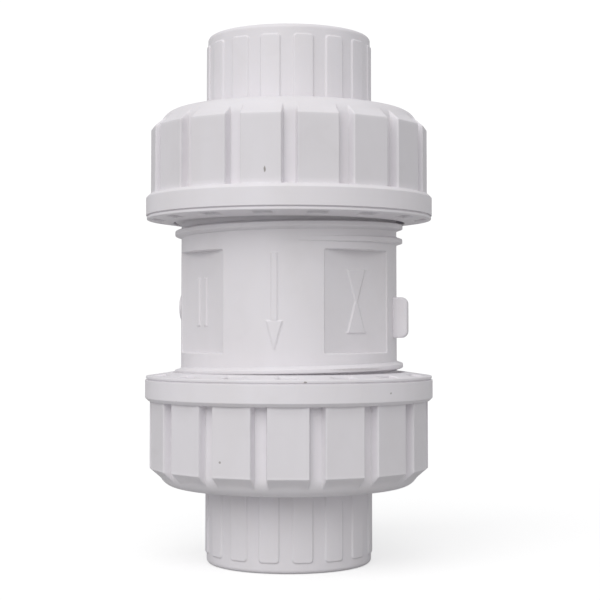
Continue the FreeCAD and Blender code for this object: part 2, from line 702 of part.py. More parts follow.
def face_o_rings():
    middle = f"{FACE} + ring_section / 2 + seat_gap"
    return [torus("upper_face_o_ring", "face_ring_radius", "ring_section / 2", middle),
            torus("lower_face_o_ring", "face_ring_radius", "ring_section / 2", f"-({middle})")]


# ---------------------------------------------------------------- seat
def seat_carrier():
    """Slip-in ring under the inlet connector; its lip is the seat."""
    body = new_body("seat_carrier")
    turned(body, "CarrierRing", [
        ("throat_radius", CARRIER_FOOT),
        ("lip_radius", CARRIER_FOOT),
        ("lip_radius", CARRIER_FOOT + " - lip_tall"),
        ("lip_radius + lip_wide", CARRIER_FOOT + " - lip_tall"),
        ("lip_radius + lip_wide", CARRIER_FOOT),
        ("carrier_radius", CARRIER_FOOT),
        ("carrier_radius", "body_half_length"),
        ("throat_radius + 1", "body_half_length"),
        ("throat_radius", "body_half_length - 1"),
    ])
    middle = f"({CARRIER_FOOT} + carrier_thick / 2)"
    floor = f"{CARRIER_BORE} - ring_section - 2 * seat_gap"
    half = "(ring_section / 2 + groove_side)"
    turned(body, "CarrierGroove", [
        (floor, f"{middle} - {half}"),
        ("carrier_radius + 1", f"{middle} - {half}"),
        ("carrier_radius + 1", f"{middle} + {half}"),
        (floor, f"{middle} + {half}"),
    ], cut=True)
    ring = torus("carrier_o_ring", CARRIER_BORE + " - ring_section / 2 - seat_gap",
                 "ring_section / 2", middle)
    return [body, ring]


# ---------------------------------------------------------------- poppet
def plain_washer(name, hole, outer, foot, thick):
    disc = cylinder(name + "_blank", outer, foot, thick)
    bore = cylinder(name + "_bore", hole, foot + " - 1", thick + " + 2")
    return combined("Cut", name, disc, bore)


def poppet():
    spigot = "spring_radius - spring_wire / 2 - spring_side_gap"
    disc = new_body("poppet_disc")
    turned(disc, "Disc", [
        (STEM_HOLE, COLLAR_TOP),
        (spigot + " - 0.4", COLLAR_TOP),
        (spigot, COLLAR_TOP + " + 0.4"),
        (spigot, DISC_FOOT),
        ("disc_radius - 1", DISC_FOOT),
        ("disc_radius", DISC_FOOT + " + 1"),
        ("disc_radius", DISC_TOP),
        (STEM_HOLE, DISC_TOP),
    ])
    seal = new_body("disc_seal")
    turned(seal, "Seal", [
        (STEM_HOLE, DISC_TOP),
        ("disc_radius", DISC_TOP),
        ("disc_radius", SEAL_TOP),
        (STEM_HOLE, SEAL_TOP),
    ])
    washer = new_body("seal_washer")
    turned(washer, "Washer", [
        (STEM_HOLE, SEAL_TOP),
        ("washer_radius", SEAL_TOP),
        ("washer_radius", WASHER_TOP + " - 0.4"),
        ("washer_radius - 0.4", WASHER_TOP),
        (STEM_HOLE, WASHER_TOP),
    ])
    stem = new_body("guide_stem")
    foot = f"({STEM_TOP} - stem_long)"
    axis = "0"
    turned(stem, "Stem", [
        (axis, foot),
        ("stem_radius - 0.6", foot),
        ("stem_radius", foot + " + 0.6"),
        ("stem_radius", COLLAR_FOOT),
        ("collar_radius", COLLAR_FOOT),
        ("collar_radius", COLLAR_TOP),
        ("stem_radius", COLLAR_TOP),
        ("stem_radius", STEM_TOP + " - 0.5"),
        ("stem_radius - 0.5", STEM_TOP),
        (axis, STEM_TOP),
    ])
    block = doc.addObject("Part::Prism", "hex_block")
    block.Polygon = 6
    bind(block, "Circumradius", "hex_flats / 2 / cos(30)")
    bind(block, "Height", "hex_tall")
    bind(block, "Placement.Base.z", HEX_FOOT)
    hole = cylinder("hex_hole", STEM_HOLE, HEX_FOOT + " - 1", "hex_tall + 2")
    nut = combined("Cut", "stem_lock_nut", block, hole)
    lock_washer = plain_washer("stem_lock_washer", STEM_HOLE, "lock_washer_radius",
                               WASHER_TOP, "lock_washer_thick")
    return [disc, seal, washer, stem, lock_washer, nut]


# ---------------------------------------------------------------- stem guide
def stem_guide():
    """Spider: ring, four ribs and a hub whose tube carries the bush and stops the collar."""
    body = new_body("guide_hub")
    turned(body, "Hub", [
        (BUSH_RADIUS + " + stem_fit", GUIDE_FOOT),
        ("hub_foot_radius", GUIDE_FOOT),
        ("hub_foot_radius", HUB_SEAT),
        ("hub_radius", HUB_SEAT),
        ("hub_radius", TUBE_TOP),
        (BUSH_RADIUS + " + stem_fit", TUBE_TOP),
    ])
    turned(body, "Ring", [
        ("guide_bore - guide_fit - guide_ring_wall", GUIDE_FOOT),
        ("guide_bore - guide_fit", GUIDE_FOOT),
        ("guide_bore - guide_fit", GUIDE_SHELF + " - seat_gap"),
        ("guide_bore - guide_fit - guide_ring_wall", GUIDE_SHELF + " - seat_gap"),
    ])
    raised(body, "Rib", [
        ("hub_foot_radius - 1", "-guide_rib_thick / 2"),
        ("guide_bore - guide_ring_wall", "-guide_rib_thick / 2"),
        ("guide_bore - guide_ring_wall", "guide_rib_thick / 2"),
        ("hub_foot_radius - 1", "guide_rib_thick / 2"),
    ], GUIDE_FOOT, "guide_ring_thick - seat_gap - 1")
    round_pattern(body, "Ribs", [body.Tip], "guide_rib_count")
    body.Label = "stem_guide"
    bush = new_body("guide_bush")
    turned(bush, "Bush", [
        ("stem_radius + slide_fit", TUBE_TOP + " - bush_long"),
        (BUSH_RADIUS, TUBE_TOP + " - bush_long"),
        (BUSH_RADIUS, TUBE_TOP),
        (BUSH_RADIUS + " + bush_head_wide", TUBE_TOP),
        (BUSH_RADIUS + " + bush_head_wide", BUSH_TOP + " - seat_gap"),
        ("stem_radius + slide_fit", BUSH_TOP + " - seat_gap"),
    ])
    return [body, bush]


def circlip():
    """Retaining ring below the guide, with an eyelet at each end of its gap."""
    foot = f"{GUIDE_FOOT} - seat_gap - circlip_wire"
    outer = f"{CIRCLIP_RADIUS} - seat_gap"
    disc = cylinder("circlip_disc", outer, foot, "circlip_wire")
    bore = cylinder("circlip_bore", f"{outer} - circlip_wide", foot + " - 1", "circlip_wire + 2")
    opening = cylinder("circlip_opening", f"{outer} + 2", foot + " - 1", "circlip_wire + 2")
    bind(opening, "Angle", "circlip_gap")
    ring = combined("Cut", "circlip_ring", disc, bore, opening)
    eyelets, holes = [], []
    reach = size(f"{outer} - circlip_wide")
    for side, azimuth in (("left", -size("eyelet_turn")), ("right", size("circlip_gap + eyelet_turn"))):
        where = FreeCAD.Rotation(Z_AXIS, azimuth).multVec(FreeCAD.Vector(reach, 0, 0))
        for group, radius, extra in ((eyelets, "eyelet_radius", 0), (holes, "eyelet_hole", 1)):
            made = doc.addObject("Part::Cylinder", f"circlip_{side}_{'hole' if extra else 'eyelet'}")
            bind(made, "Radius", radius)
            bind(made, "Height", f"circlip_wire + {2 * extra}")
            made.Placement.Base = where + FreeCAD.Vector(0, 0, size(foot) - extra)
            group.append(made)
    solid = combined("MultiFuse", "circlip_blank", ring, *eyelets)
    return combined("Cut", "guide_circlip", solid, *holes)


def closing_spring():
    """Open coil spring, drawn between its two seats with the valve shut; its wire has 12 flats."""
    length = f"({DISC_FOOT} - {SPRING_SEAT} - spring_wire - 2 * seat_gap)"
    helix = doc.addObject("Part::Helix", "SpringHelix")
    bind(helix, "Pitch", f"{length} / spring_coils")
    bind(helix, "Height", length)
    bind(helix, "Radius", "spring_radius")
    wire = doc.addObject("Part::RegularPolygon", "SpringWire")
    wire.Polygon = 12
    bind(wire, "Circumradius", "spring_wire / 2")
    wire.Placement = FreeCAD.Placement(FreeCAD.Vector(size("spring_radius"), 0, 0),
                                       FreeCAD.Rotation(X_AXIS, 90))
    doc.recompute()
    spring = doc.addObject("Part::Sweep", "closing_spring")
    spring.Sections = [wire]
    spring.Spine = (helix, [f"Edge{i + 1}" for i in range(len(helix.Shape.Edges))])
    spring.Solid = True
    spring.Frenet = True
    spring.Label = "closing_spring"
    bind(spring, "Placement.Base.z", f"{SPRING_SEAT} + spring_wire / 2 + seat_gap")
    return spring


# ---------------------------------------------------------------- whole valve
nodes = [
    valve_body(),
    union_nut("upper", "180 / pad_count + upper_nut_turn"),
    union_nut("lower", "-lower_nut_turn"),
    end_connector("upper", "upper_panel_turn"),
    end_connector("lower", "lower_panel_turn"),
    *face_o_rings(),
    *seat_carrier(),
    *poppet(),
    *stem_guide(),
    circlip(),
    plain_washer("spring_seat_washer", "hub_radius + stem_fit", "hub_foot_radius",
                 HUB_SEAT, "spring_washer_thick"),
    closing_spring(),
]
doc.recompute()

for thing in doc.Objects:
    if "Invalid" in thing.State or "Error" in thing.State:
        raise RuntimeError(f"{thing.Label} failed: {thing.State}")
os.makedirs("parts", exist_ok=True)
for node in nodes:
    shape = node.Shape
    if shape.isNull() or not shape.isValid() or not shape.Solids:
        raise RuntimeError(f"{node.Label} has no valid solid")
    shape.exportStep(f"parts/{node.Label}.step")
    box = shape.BoundBox
    print(f"{node.Label:22s} {len(shape.Solids)} solid {shape.Volume:10.1f} mm3 "
          f"z {box.ZMin:7.2f} {box.ZMax:7.2f}")
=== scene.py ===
"""Surfaces, finishes and studio for a white double-union spring check valve.

Lengths are metres in the part's own frame: +Z up the pipe axis, the flow arrow toward -Y.
"""

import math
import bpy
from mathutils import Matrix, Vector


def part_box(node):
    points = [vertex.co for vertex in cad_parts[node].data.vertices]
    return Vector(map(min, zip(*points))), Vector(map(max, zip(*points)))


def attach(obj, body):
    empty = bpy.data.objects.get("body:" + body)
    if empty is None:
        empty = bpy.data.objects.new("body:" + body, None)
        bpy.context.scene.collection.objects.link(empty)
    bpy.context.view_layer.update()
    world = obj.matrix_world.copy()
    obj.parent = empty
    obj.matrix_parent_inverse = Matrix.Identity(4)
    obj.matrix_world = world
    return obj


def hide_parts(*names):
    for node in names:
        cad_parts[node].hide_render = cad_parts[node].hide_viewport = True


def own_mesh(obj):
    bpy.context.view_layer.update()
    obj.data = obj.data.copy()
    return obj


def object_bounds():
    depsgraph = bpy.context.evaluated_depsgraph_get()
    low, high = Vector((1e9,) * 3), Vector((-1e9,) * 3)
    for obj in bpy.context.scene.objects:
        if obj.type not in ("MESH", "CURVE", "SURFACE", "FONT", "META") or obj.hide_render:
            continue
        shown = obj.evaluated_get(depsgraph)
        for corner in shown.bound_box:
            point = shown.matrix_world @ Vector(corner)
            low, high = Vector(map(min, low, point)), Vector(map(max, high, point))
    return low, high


bl_info = {
    "name": "Union Check Valve",
    "version": (1, 0, 0),
    "blender": (4, 5, 0),
    "location": "3D View > Sidebar > Check Valve",
    "description": "Moulded plastic check valve with union nuts, sockets and spring-loaded poppet",
    "category": "Object",
}

import bpy
import numpy as np
from bpy.props import FloatProperty, FloatVectorProperty, IntProperty, PointerProperty
from mathutils import Matrix

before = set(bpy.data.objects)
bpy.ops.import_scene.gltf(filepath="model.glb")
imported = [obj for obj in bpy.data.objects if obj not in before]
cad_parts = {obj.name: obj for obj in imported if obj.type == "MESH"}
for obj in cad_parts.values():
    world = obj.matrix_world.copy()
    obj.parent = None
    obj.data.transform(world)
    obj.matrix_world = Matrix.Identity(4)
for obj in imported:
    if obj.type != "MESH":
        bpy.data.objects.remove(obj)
CAD_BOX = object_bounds()

MM = 0.001
TURN = 2 * math.pi


# ---------------------------------------------------------------- sizes read from the frame
def top_of(node):
    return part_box(node)[1].z


def foot_of(node):
    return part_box(node)[0].z


def reach_of(node):
    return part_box(node)[1].x


def length(label, value, about):
    return FloatProperty(name=label, description=about, default=value, unit="LENGTH", precision=5)


def angle(label, value, about):
    return FloatProperty(name=label, description=about, default=math.radians(value),
                         subtype="ANGLE", unit="ROTATION")


def colour(label, value, about):
    return FloatVectorProperty(name=label, description=about, default=value, size=3,
                               subtype="COLOR", min=0.0, max=1.0)


class BodySizes(bpy.types.PropertyGroup):
    """Valve body: barrel, flats, arrow and the marks left by its mould"""
    half_length: length("Half length", top_of("valve_body"), "Middle of the body to an end face")
    barrel: length("Barrel radius", 26.8 * MM, "Outside of the barrel")
    rounding: length("End rounding", 0.9 * MM, "Rounding of the barrel's ends")
    chamber: length("Chamber radius", 19.6 * MM, "Bore that the poppet travels in")
    carrier_bore: length("Carrier bore", 22.0 * MM, "Bore that holds the seat carrier")
    guide_bore: length("Guide bore", 21.0 * MM, "Bore that holds the stem guide")
    guide_shelf: length("Guide shelf", 14.0 * MM, "Lower end face up to the guide's shelf")
    circlip_bore: length("Circlip groove", 22.0 * MM, "Radius of the groove for the retaining ring")
    front: angle("Front azimuth", -98.35, "Middle of the side that carries the arrow")
    flat_spread: angle("Flat spread", 48.7, "Turn from the middle of the front to that of a flat")
    flat_half: angle("Flat half angle", 22.0, "Half the turn that a flat takes")
    flat_tall: length("Flat height", 24.4 * MM, "Height of a flat")
    flat_middle: length("Flat middle", -1.3 * MM, "Height of a flat's centre")
    flat_step: length("Flat step", 0.2 * MM, "Step at the sides of a flat")
    relief: length("Relief", 0.3 * MM, "How far raised marks stand out")
    arrow_turn: angle("Arrow turn", 1.45, "Turn of the arrow from the middle of its side")
    arrow_long: length("Arrow length", 22.7 * MM, "Overall length of the flow arrow")
    arrow_middle: length("Arrow middle", -1.4 * MM, "Height of the arrow's centre")
    head_long: length("Arrow head length", 6.9 * MM, "Length of the arrow head")
    head_wide: length("Arrow head width", 3.8 * MM, "Width of the arrow head")
    shaft_wide: length("Arrow shaft width", 1.4 * MM, "Width of the arrow shaft")
    symbol_tall: length("Symbol height", 15.0 * MM, "Height of the valve symbol")
    symbol_wide: length("Symbol width", 5.6 * MM, "Width of the valve symbol")
    bar_long: length("Bar length", 11.5 * MM, "Length of the plain bars on the left flat")
    bar_wide: length("Bar width", 1.3 * MM, "Width of a plain bar")
    bar_pitch: length("Bar pitch", 3.4 * MM, "Distance between the two bars")
    tab_turn: angle("Tab turn", 81.75, "Turn from the middle of the front to the parting tab")
    tab_reach: length("Tab reach", 30.3 * MM, "Distance of the parting tab's edge from the axis")
    tab_tall: length("Tab height", 9.9 * MM, "Height of the parting tab")
    tab_thick: length("Tab thickness", 2.0 * MM, "Thickness of the parting tab")
    tab_corner: length("Tab corner", 1.7 * MM, "Corner radius of the parting tab")
    tab_middle: length("Tab middle", -5.0 * MM, "Height of the parting tab's centre")
    gate_radius: length("Gate radius", 3.4 * MM, "Radius of the gate boss")
    gate_reach: length("Gate reach", 27.3 * MM, "Distance of the gate boss's face from the axis")
    gate_middle: length("Gate middle", -2.4 * MM, "Height of the gate boss")


class ThreadSizes(bpy.types.PropertyGroup):
    """Union thread, right hand, on the body and in the nuts"""
    pitch: length("Pitch", 3.5 * MM, "Lead of the union thread")
    height: length("Height", 1.55 * MM, "Radial height of a ridge")
    root: length("Root width", 2.1 * MM, "Axial width of the ridge at its root")
    crest: length("Crest width", 1.1 * MM, "Axial width of the ridge at its crest")
    clearance: length("Clearance", 0.3 * MM, "Gap left all round between the two threads")
    runout: angle("Run-out", 95.0, "Turn over which a ridge sinks into the barrel")
    top_gap: length("Plain end", 2.4 * MM, "Plain end of the barrel beyond the full ridge")
    upper_long: length("Upper ridge", 22.0 * MM, "Upper end face to the foot of its ridge")
    lower_long: length("Lower ridge", 19.3 * MM, "Lower end face to the foot of its ridge")
    upper_skip: IntProperty(name="Upper skip", default=2,
                            description="Body turns below the upper nut's ridge")
    lower_skip: IntProperty(name="Lower skip", default=1,
                            description="Body turns below the lower nut's ridge")
    nut_turns: FloatProperty(name="Nut turns", description="Turns of a nut's ridge", default=3.0)


class NutSizes(bpy.types.PropertyGroup):
    """Union nut: rim, grip pads, shoulder and the pockets in its open face"""
    open_foot: length("Open foot", foot_of("upper_union_nut"),
                      "Middle of the body to the open face at the bore")
    face_drop: length("Face drop", 1.0 * MM, "Rise of the coned open face from its bore to its rim")
    closed_end: length("Closed end", top_of("upper_union_nut"), "Middle of the body to the closed face")
    rim: length("Rim radius", reach_of("upper_union_nut"), "Outside of the rim")
    rim_tall: length("Rim height", 6.1 * MM, "Height of the rim")
    rim_chamfer: length("Rim chamfer", 0.8 * MM, "Chamfer at the rim's pad side")
    lip_tall: length("Lip height", 0.6 * MM, "Height of the lip beyond the fine groove")
    lip_drop: length("Lip drop", 0.2 * MM, "How much smaller the lip's radius is")
    line_wide: length("Groove width", 0.35 * MM, "Width of the fine groove round the rim")
    line_deep: length("Groove depth", 0.3 * MM, "Depth of the fine groove round the rim")
    core: length("Core radius", 32.2 * MM, "Floor of the channels between the pads")
    shoulder: length("Shoulder", 4.2 * MM, "Rounding of the closed end")
    bore: length("Bore radius", 28.65 * MM, "Inside of the nut behind its thread")
    hole: length("Hole radius", 21.05 * MM, "Hole that the socket passes through")
    plate: length("Plate", 5.1 * MM, "Thickness of the closed end")
    pads: IntProperty(name="Pads", description="Grip pads round a nut", default=16)
    pad_reach: length("Pad reach", 34.1 * MM, "Distance of a pad's flat from the axis")
    pad_half: length("Pad half width", 4.73 * MM, "Half width of a pad's flat")
    pad_wall: length("Pad wall", 0.55 * MM, "Width of the drafted wall beside a pad")
    pad_end: length("Pad end", 4.5 * MM, "Closed face to the start of the pads' chamfer")
    pad_slope: angle("Pad end slope", 50.0, "Slope of the pads' end chamfer from the axis")
    pocket_long: length("Pocket width", 4.5 * MM, "Width of a pocket in the open face")
    pocket_wide: length("Pocket depth along the radius", 2.7 * MM, "Radial size of a pocket")
    pocket_deep: length("Pocket depth", 2.0 * MM, "Depth of a pocket")
    pocket_ring: length("Pocket ring", 32.7 * MM, "Radius of the ring of pockets")
    upper_turn: angle("Upper nut turn", 11.95, "Azimuth of a pad on the upper nut")
    lower_turn: angle("Lower nut turn", 0.2, "Azimuth of a pad on the lower nut")


class ConnectorSizes(bpy.types.PropertyGroup):
    """End connector: clamped flange and ribbed solvent socket"""
    face: length("Face", foot_of("upper_end_connector"), "Middle of the body to the joint face")
    mouth: length("Mouth", top_of("upper_end_connector"), "Middle of the body to the socket's mouth")
    flange: length("Flange radius", reach_of("upper_end_connector"), "Outside of the flange")
    flange_thick: length("Flange thickness", 5.0 * MM, "Thickness of the flange")
    socket: length("Socket radius", 20.3 * MM, "Outside of the socket between its panels")
    rounding: length("Mouth rounding", 1.0 * MM, "Rounding of the mouth's outer edge")
    pipe: length("Pipe bore", 16.1 * MM, "Radius of the bore that takes the pipe")
    pipe_depth: length("Pipe depth", 22.0 * MM, "Depth of the pipe bore")
    through: length("Through bore", 13.0 * MM, "Radius of the waterway")
    groove: length("Groove radius", 24.1 * MM, "Mean radius of the O-ring's groove")
    groove_half: length("Groove half width", 1.45 * MM, "Half width of the O-ring's groove")
    groove_deep: length("Groove depth", 2.4 * MM, "Depth of the O-ring's groove")
    panels: IntProperty(name="Panels", description="Raised panels round a socket", default=16)
    panel_rise: length("Panel rise", 0.35 * MM, "How far a panel stands out")
    panel_half: angle("Panel half angle", 6.77, "Half the turn that a panel takes")
    panel_gap: length("Panel gap", 2.6 * MM, "Plain band between the panels and the mouth")
    panel_corner: length("Panel corner", 0.8 * MM, "Corner radius of a panel")
    upper_turn: angle("Upper panel turn", -79.8, "Azimuth of a panel on the upper socket")
    lower_turn: angle("Lower panel turn", -80.4, "Azimuth of a panel on the lower socket")


class SpringSizes(bpy.types.PropertyGroup):
    """Closing spring with closed, ground ends"""
    mean: length("Mean radius", 7.6 * MM, "Mean radius of the coils")
    wire: length("Wire", 1.1 * MM, "Wire diameter")
    coils: FloatProperty(name="Active coils", description="Coils between the closed ends", default=6.0)
    dead: FloatProperty(name="Dead coils", description="Closed coils at each end", default=1.0)


class InnerSizes(bpy.types.PropertyGroup):
    """Seat, poppet and guide: radii and steps that the frame doesn't give"""
    carrier_step: length("Carrier step", 1.5 * MM, "Foot of the seat lip up to the flat underside")
    throat: length("Throat radius", 12.5 * MM, "Waterway through the seat carrier")
    lip: length("Lip radius", 13.6 * MM, "Inner edge of the seat lip")
    lip_wide: length("Lip width", 1.0 * MM, "Width of the seat lip")
    ring_groove_half: length("Ring groove half width", 1.45 * MM, "Half width of its O-ring's groove")
    bore: length("Poppet bore", 3.03 * MM, "Hole for the stem in the poppet's pieces")
    stem: length("Stem radius", 3.0 * MM, "Radius of the guide stem")
    nut_flats: length("Lock nut flats", 10.0 * MM, "Width of the lock nut across its flats")
    bush_bore: length("Bush bore", 3.08 * MM, "Bore of the guide bush")
    bush_wall: length("Bush radius", 4.28 * MM, "Outside of the bush inside the guide's tube")
    washer_bore: length("Washer bore", 6.43 * MM, "Bore of the spring's seat washer")


class FinishColours(bpy.types.PropertyGroup):
    """Base colours of the finishes"""
    body: colour("Body plastic", (0.816, 0.790, 0.822), "White of the moulded body")
    nut: colour("Nut plastic", (0.828, 0.803, 0.838), "Slightly lighter white of nuts and sockets")
    inner: colour("Inner plastic", (0.76, 0.755, 0.74), "White of the pieces inside")
    bush: colour("Bush plastic", (0.72, 0.70, 0.64), "Waxy white of the guide bush")
    rubber: colour("Rubber", (0.018, 0.018, 0.019), "Black of the seals")
    steel: colour("Stainless steel", (0.56, 0.55, 0.53), "Turned stainless steel")
    # The grime colour is also the colour of the painted shade in sharp inner corners and of the body's
    # painted shadow line.
    grime_and_shade: colour("Grime And Shade", (0.20, 0.17, 0.14), "Dust and specks picked up in handling")


class StudioSettings(bpy.types.PropertyGroup):
    """Camera, lamp and floor"""
    lens: FloatProperty(name="Lens", description="Focal length", default=87.2, unit="CAMERA")
    distance: length("Distance", 362.9 * MM, "Camera to the pipe axis")
    aside: length("Aside", 2.75 * MM, "How far the camera stands to the right")
    eye: length("Eye height", -7.4 * MM, "Camera height from the middle of the valve")
    tilt: angle("Tilt", 2.97, "How far the camera looks up")
    roll: angle("Roll", 0.0, "Turn of the camera about its line of sight")
    shift: FloatProperty(name="Shift", description="Vertical lens shift", default=-0.08)
    key: FloatProperty(name="Key", description="Strength of the high soft lamp", default=1.55)
    key_spread: angle("Lamp spread", 60.0, "Angle that a lamp takes up, which softens its shadows")
    sky: FloatProperty(name="Sky", description="Strength of the light from all round", default=0.54)
    floor_glow: FloatProperty(name="Floor glow", default=0.6,
                              description="Brightness added to the floor as seen")


# ---------------------------------------------------------------- surfaces
def soft_step(value):
    """Smooth rise from 0 to 1: 3t^2 - 2t^3 of the value held between 0 and 1."""
    t = np.clip(value, 0.0, 1.0)
    return t * t * (3 - 2 * t)


def wrapped(theta):
    """The same angle between minus and plus half a turn."""
    return (theta + math.pi) % TURN - math.pi


def lines(start, end, step, *zones):
    """Sorted grid lines from start to end: evenly spaced, and finer in each (from, to, step) zone."""
    parts = [np.linspace(start, end, max(2, int(round((end - start) / step)) + 1))]
    for low, high, fine in zones:
        parts.append(np.linspace(low, high, max(2, int(round((high - low) / fine)) + 1)))
    rows = np.sort(np.concatenate(parts))
    rows = rows[(rows >= start - 1e-12) & (rows <= end + 1e-12)]
    keep = np.concatenate([[True], np.diff(rows) > step * 1e-3])
    return rows[keep]


def edge_zone(place, width, count=6):
    """Zone of fine lines across one soft edge."""
    return (place - width, place + width, 2 * width / count)


def rounded_path(corners, step, marks=(), closed=True):
    """Outline through (radius, height, rounding[, arc steps]) corners as an array of points.

    Each corner becomes an arc that is tangent to its two runs. A run is divided no coarser than
    `step`, with a guard point beside each arc. A mark (axis, start, end, values) gives the heights
    (axis 1) or the radii (axis 0) of the points of the run between those two corners.
    """
    place = np.array([corner[:2] for corner in corners], float)
    count = len(corners)
    arcs = []
    for i, corner in enumerate(corners):
        here = place[i]
        if corner[2] <= 0 or (not closed and i in (0, count - 1)):
            arcs.append(here[None, :])
            continue
        back, ahead = place[i - 1] - here, place[(i + 1) % count] - here
        back_long, ahead_long = np.linalg.norm(back), np.linalg.norm(ahead)
        u, v = back / back_long, ahead / ahead_long
        half = 0.5 * math.acos(float(np.clip(u @ v, -1, 1)))
        trim = min(corner[2] / math.tan(half), 0.48 * back_long, 0.48 * ahead_long)
        radius = trim * math.tan(half)
        centre = here + (u + v) / np.linalg.norm(u + v) * radius / math.sin(half)
        first, last = (here + u * trim - centre) / radius, (here + v * trim - centre) / radius
        sweep = math.pi - 2 * half
        t = np.linspace(0, 1, (corner[3] if len(corner) > 3 else 5) + 1)[:, None]
        arcs.append(centre + radius * (np.sin((1 - t) * sweep) * first + np.sin(t * sweep) * last)
                    / math.sin(sweep))
    path = []
    for i in range(count):
        path.append(arcs[i])
        if not closed and i == count - 1:
            break
        a, b = arcs[i][-1], arcs[(i + 1) % count][0]
        run = np.linalg.norm(b - a)
        guard = min(0.15 * MM, run / 4)
        inner = np.linspace(0, 1, max(1, math.ceil(run / step)) + 1)
        for axis, start, end, values in marks:
            if (i, (i + 1) % count) == (start, end):
                inner = (values - a[axis]) / (b[axis] - a[axis])
        t = np.unique(np.round(np.concatenate([inner, [guard / run, 1 - guard / run]]), 6))
        t = t[(t > 1e-4) & (t < 1 - 1e-4)][:, None]
        path.append(a + (b - a) * t)
    return np.concatenate(path)


def grid_faces(rows, columns, close_rows):
    """Quads of a grid whose columns close on themselves; its rows close too when asked."""
    i = np.arange(rows if close_rows else rows - 1)[:, None]
    j = np.arange(columns)[None, :]
    down, right = (i + 1) % rows, (j + 1) % columns
    return np.stack([i * columns + j, down * columns + j, down * columns + right, i * columns + right],
                    axis=-1).reshape(-1, 4)


def outward(points, faces):
    """Turn all faces over when the closed surface's signed volume comes out negative."""
    a, b, c = (points[faces[:, k]] for k in (0, 1, 2))
    volume = np.einsum("ij,ij->i", a, np.cross(b, c)).sum()
    if faces.shape[1] == 4:
        d = points[faces[:, 3]]
        volume += np.einsum("ij,ij->i", a, np.cross(c, d)).sum()
    return faces if volume > 0 else faces[:, ::-1]


class Shell:
    """Points and quads of one or more closed surfaces that make one piece."""

    def __init__(self):
        self.points, self.quads, self.count = [], [], 0

    def add(self, points, quads, caps=()):
        """Add a surface; each cap is a (row of point numbers) closed by a fan of thin quads."""
        points = np.asarray(points, float).reshape(-1, 3)
        extra, extra_points = [], []
        for cap in caps:
            cap = np.asarray(cap)
            middle = len(points) + len(extra_points)
            extra_points.append(points[cap].mean(axis=0))
            ahead = np.roll(cap, -1)
            hub = np.full_like(cap, middle)
            extra.append(np.stack([cap, ahead, hub, hub], axis=-1))
        if extra:
            points = np.concatenate([points, np.array(extra_points)])
            quads = np.concatenate([quads, *extra])
        self.quads.append(outward(points, quads) + self.count)
        self.points.append(points)
        self.count += len(points)
        return self

    def turned_over(self):
        """End for end: half a turn about X."""
        self.points = [p * np.array([1, -1, -1]) for p in self.points]
        return self

    def piece(self, name, body, node, slot):
        """Make the mesh, hang it on its body and let it stand for the CAD node."""
        points = np.concatenate(self.points)
        quads = np.concatenate(self.quads)
        loops = [q[:3] if q[2] == q[3] else q for q in quads.tolist()]
        loops = [q if len(set(q)) == len(q) else list(dict.fromkeys(q)) for q in loops]
        mesh = bpy.data.meshes.new(name)
        mesh.from_pydata(points.tolist(), [], [q for q in loops if len(q) > 2])
        mesh.shade_smooth()
        mesh.materials.append(finish(slot))
        mesh.update()
        made = bpy.data.objects.new(name, mesh)
        bpy.context.scene.collection.objects.link(made)
        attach(made, body)
        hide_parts(node)
        return made


def placed(radius, theta, z):
    """Points at a radius, an azimuth and a height."""
    x, y, z = np.broadcast_arrays(radius * np.cos(theta), radius * np.sin(theta), z)
    return np.stack([x, y, z], -1)


def spun_points(path, theta):
    """Surface of revolution: (radius, height) points carried round the axis."""
    r, z = path[:, 0][:, None], path[:, 1][:, None]
    return placed(r, theta, z)


def ring(shell, corners, step=1.5 * MM, around=128):
    """Add a turned ring: a closed outline carried once round the axis."""
    path = rounded_path(corners, step)
    theta = np.linspace(0, TURN, around, endpoint=False)
    return shell.add(spun_points(path, theta), grid_faces(len(path), around, True))


def turned_bar(shell, corners, step=1.5 * MM, around=64):
    """Add a turned solid: an open outline from axis to axis carried round, closed by two fans."""
    path = rounded_path(corners, step, closed=False)
    path = path[(path[:, 0] > 1e-6)]
    theta = np.linspace(0, TURN, around, endpoint=False)
    last = (len(path) - 1) * around
    return shell.add(spun_points(path, theta), grid_faces(len(path), around, False),
                     caps=[np.arange(around), last + np.arange(around)[::-1]])


def torus(shell, mean, section, middle, around=160, across=28):
    """Add an O-ring: a circle of that section carried round the axis."""
    turn = np.linspace(0, TURN, across, endpoint=False)
    path = np.stack([mean + section / 2 * np.cos(turn), middle + section / 2 * np.sin(turn)], -1)
    theta = np.linspace(0, TURN, around, endpoint=False)
    return shell.add(spun_points(path, theta), grid_faces(across, around, True))


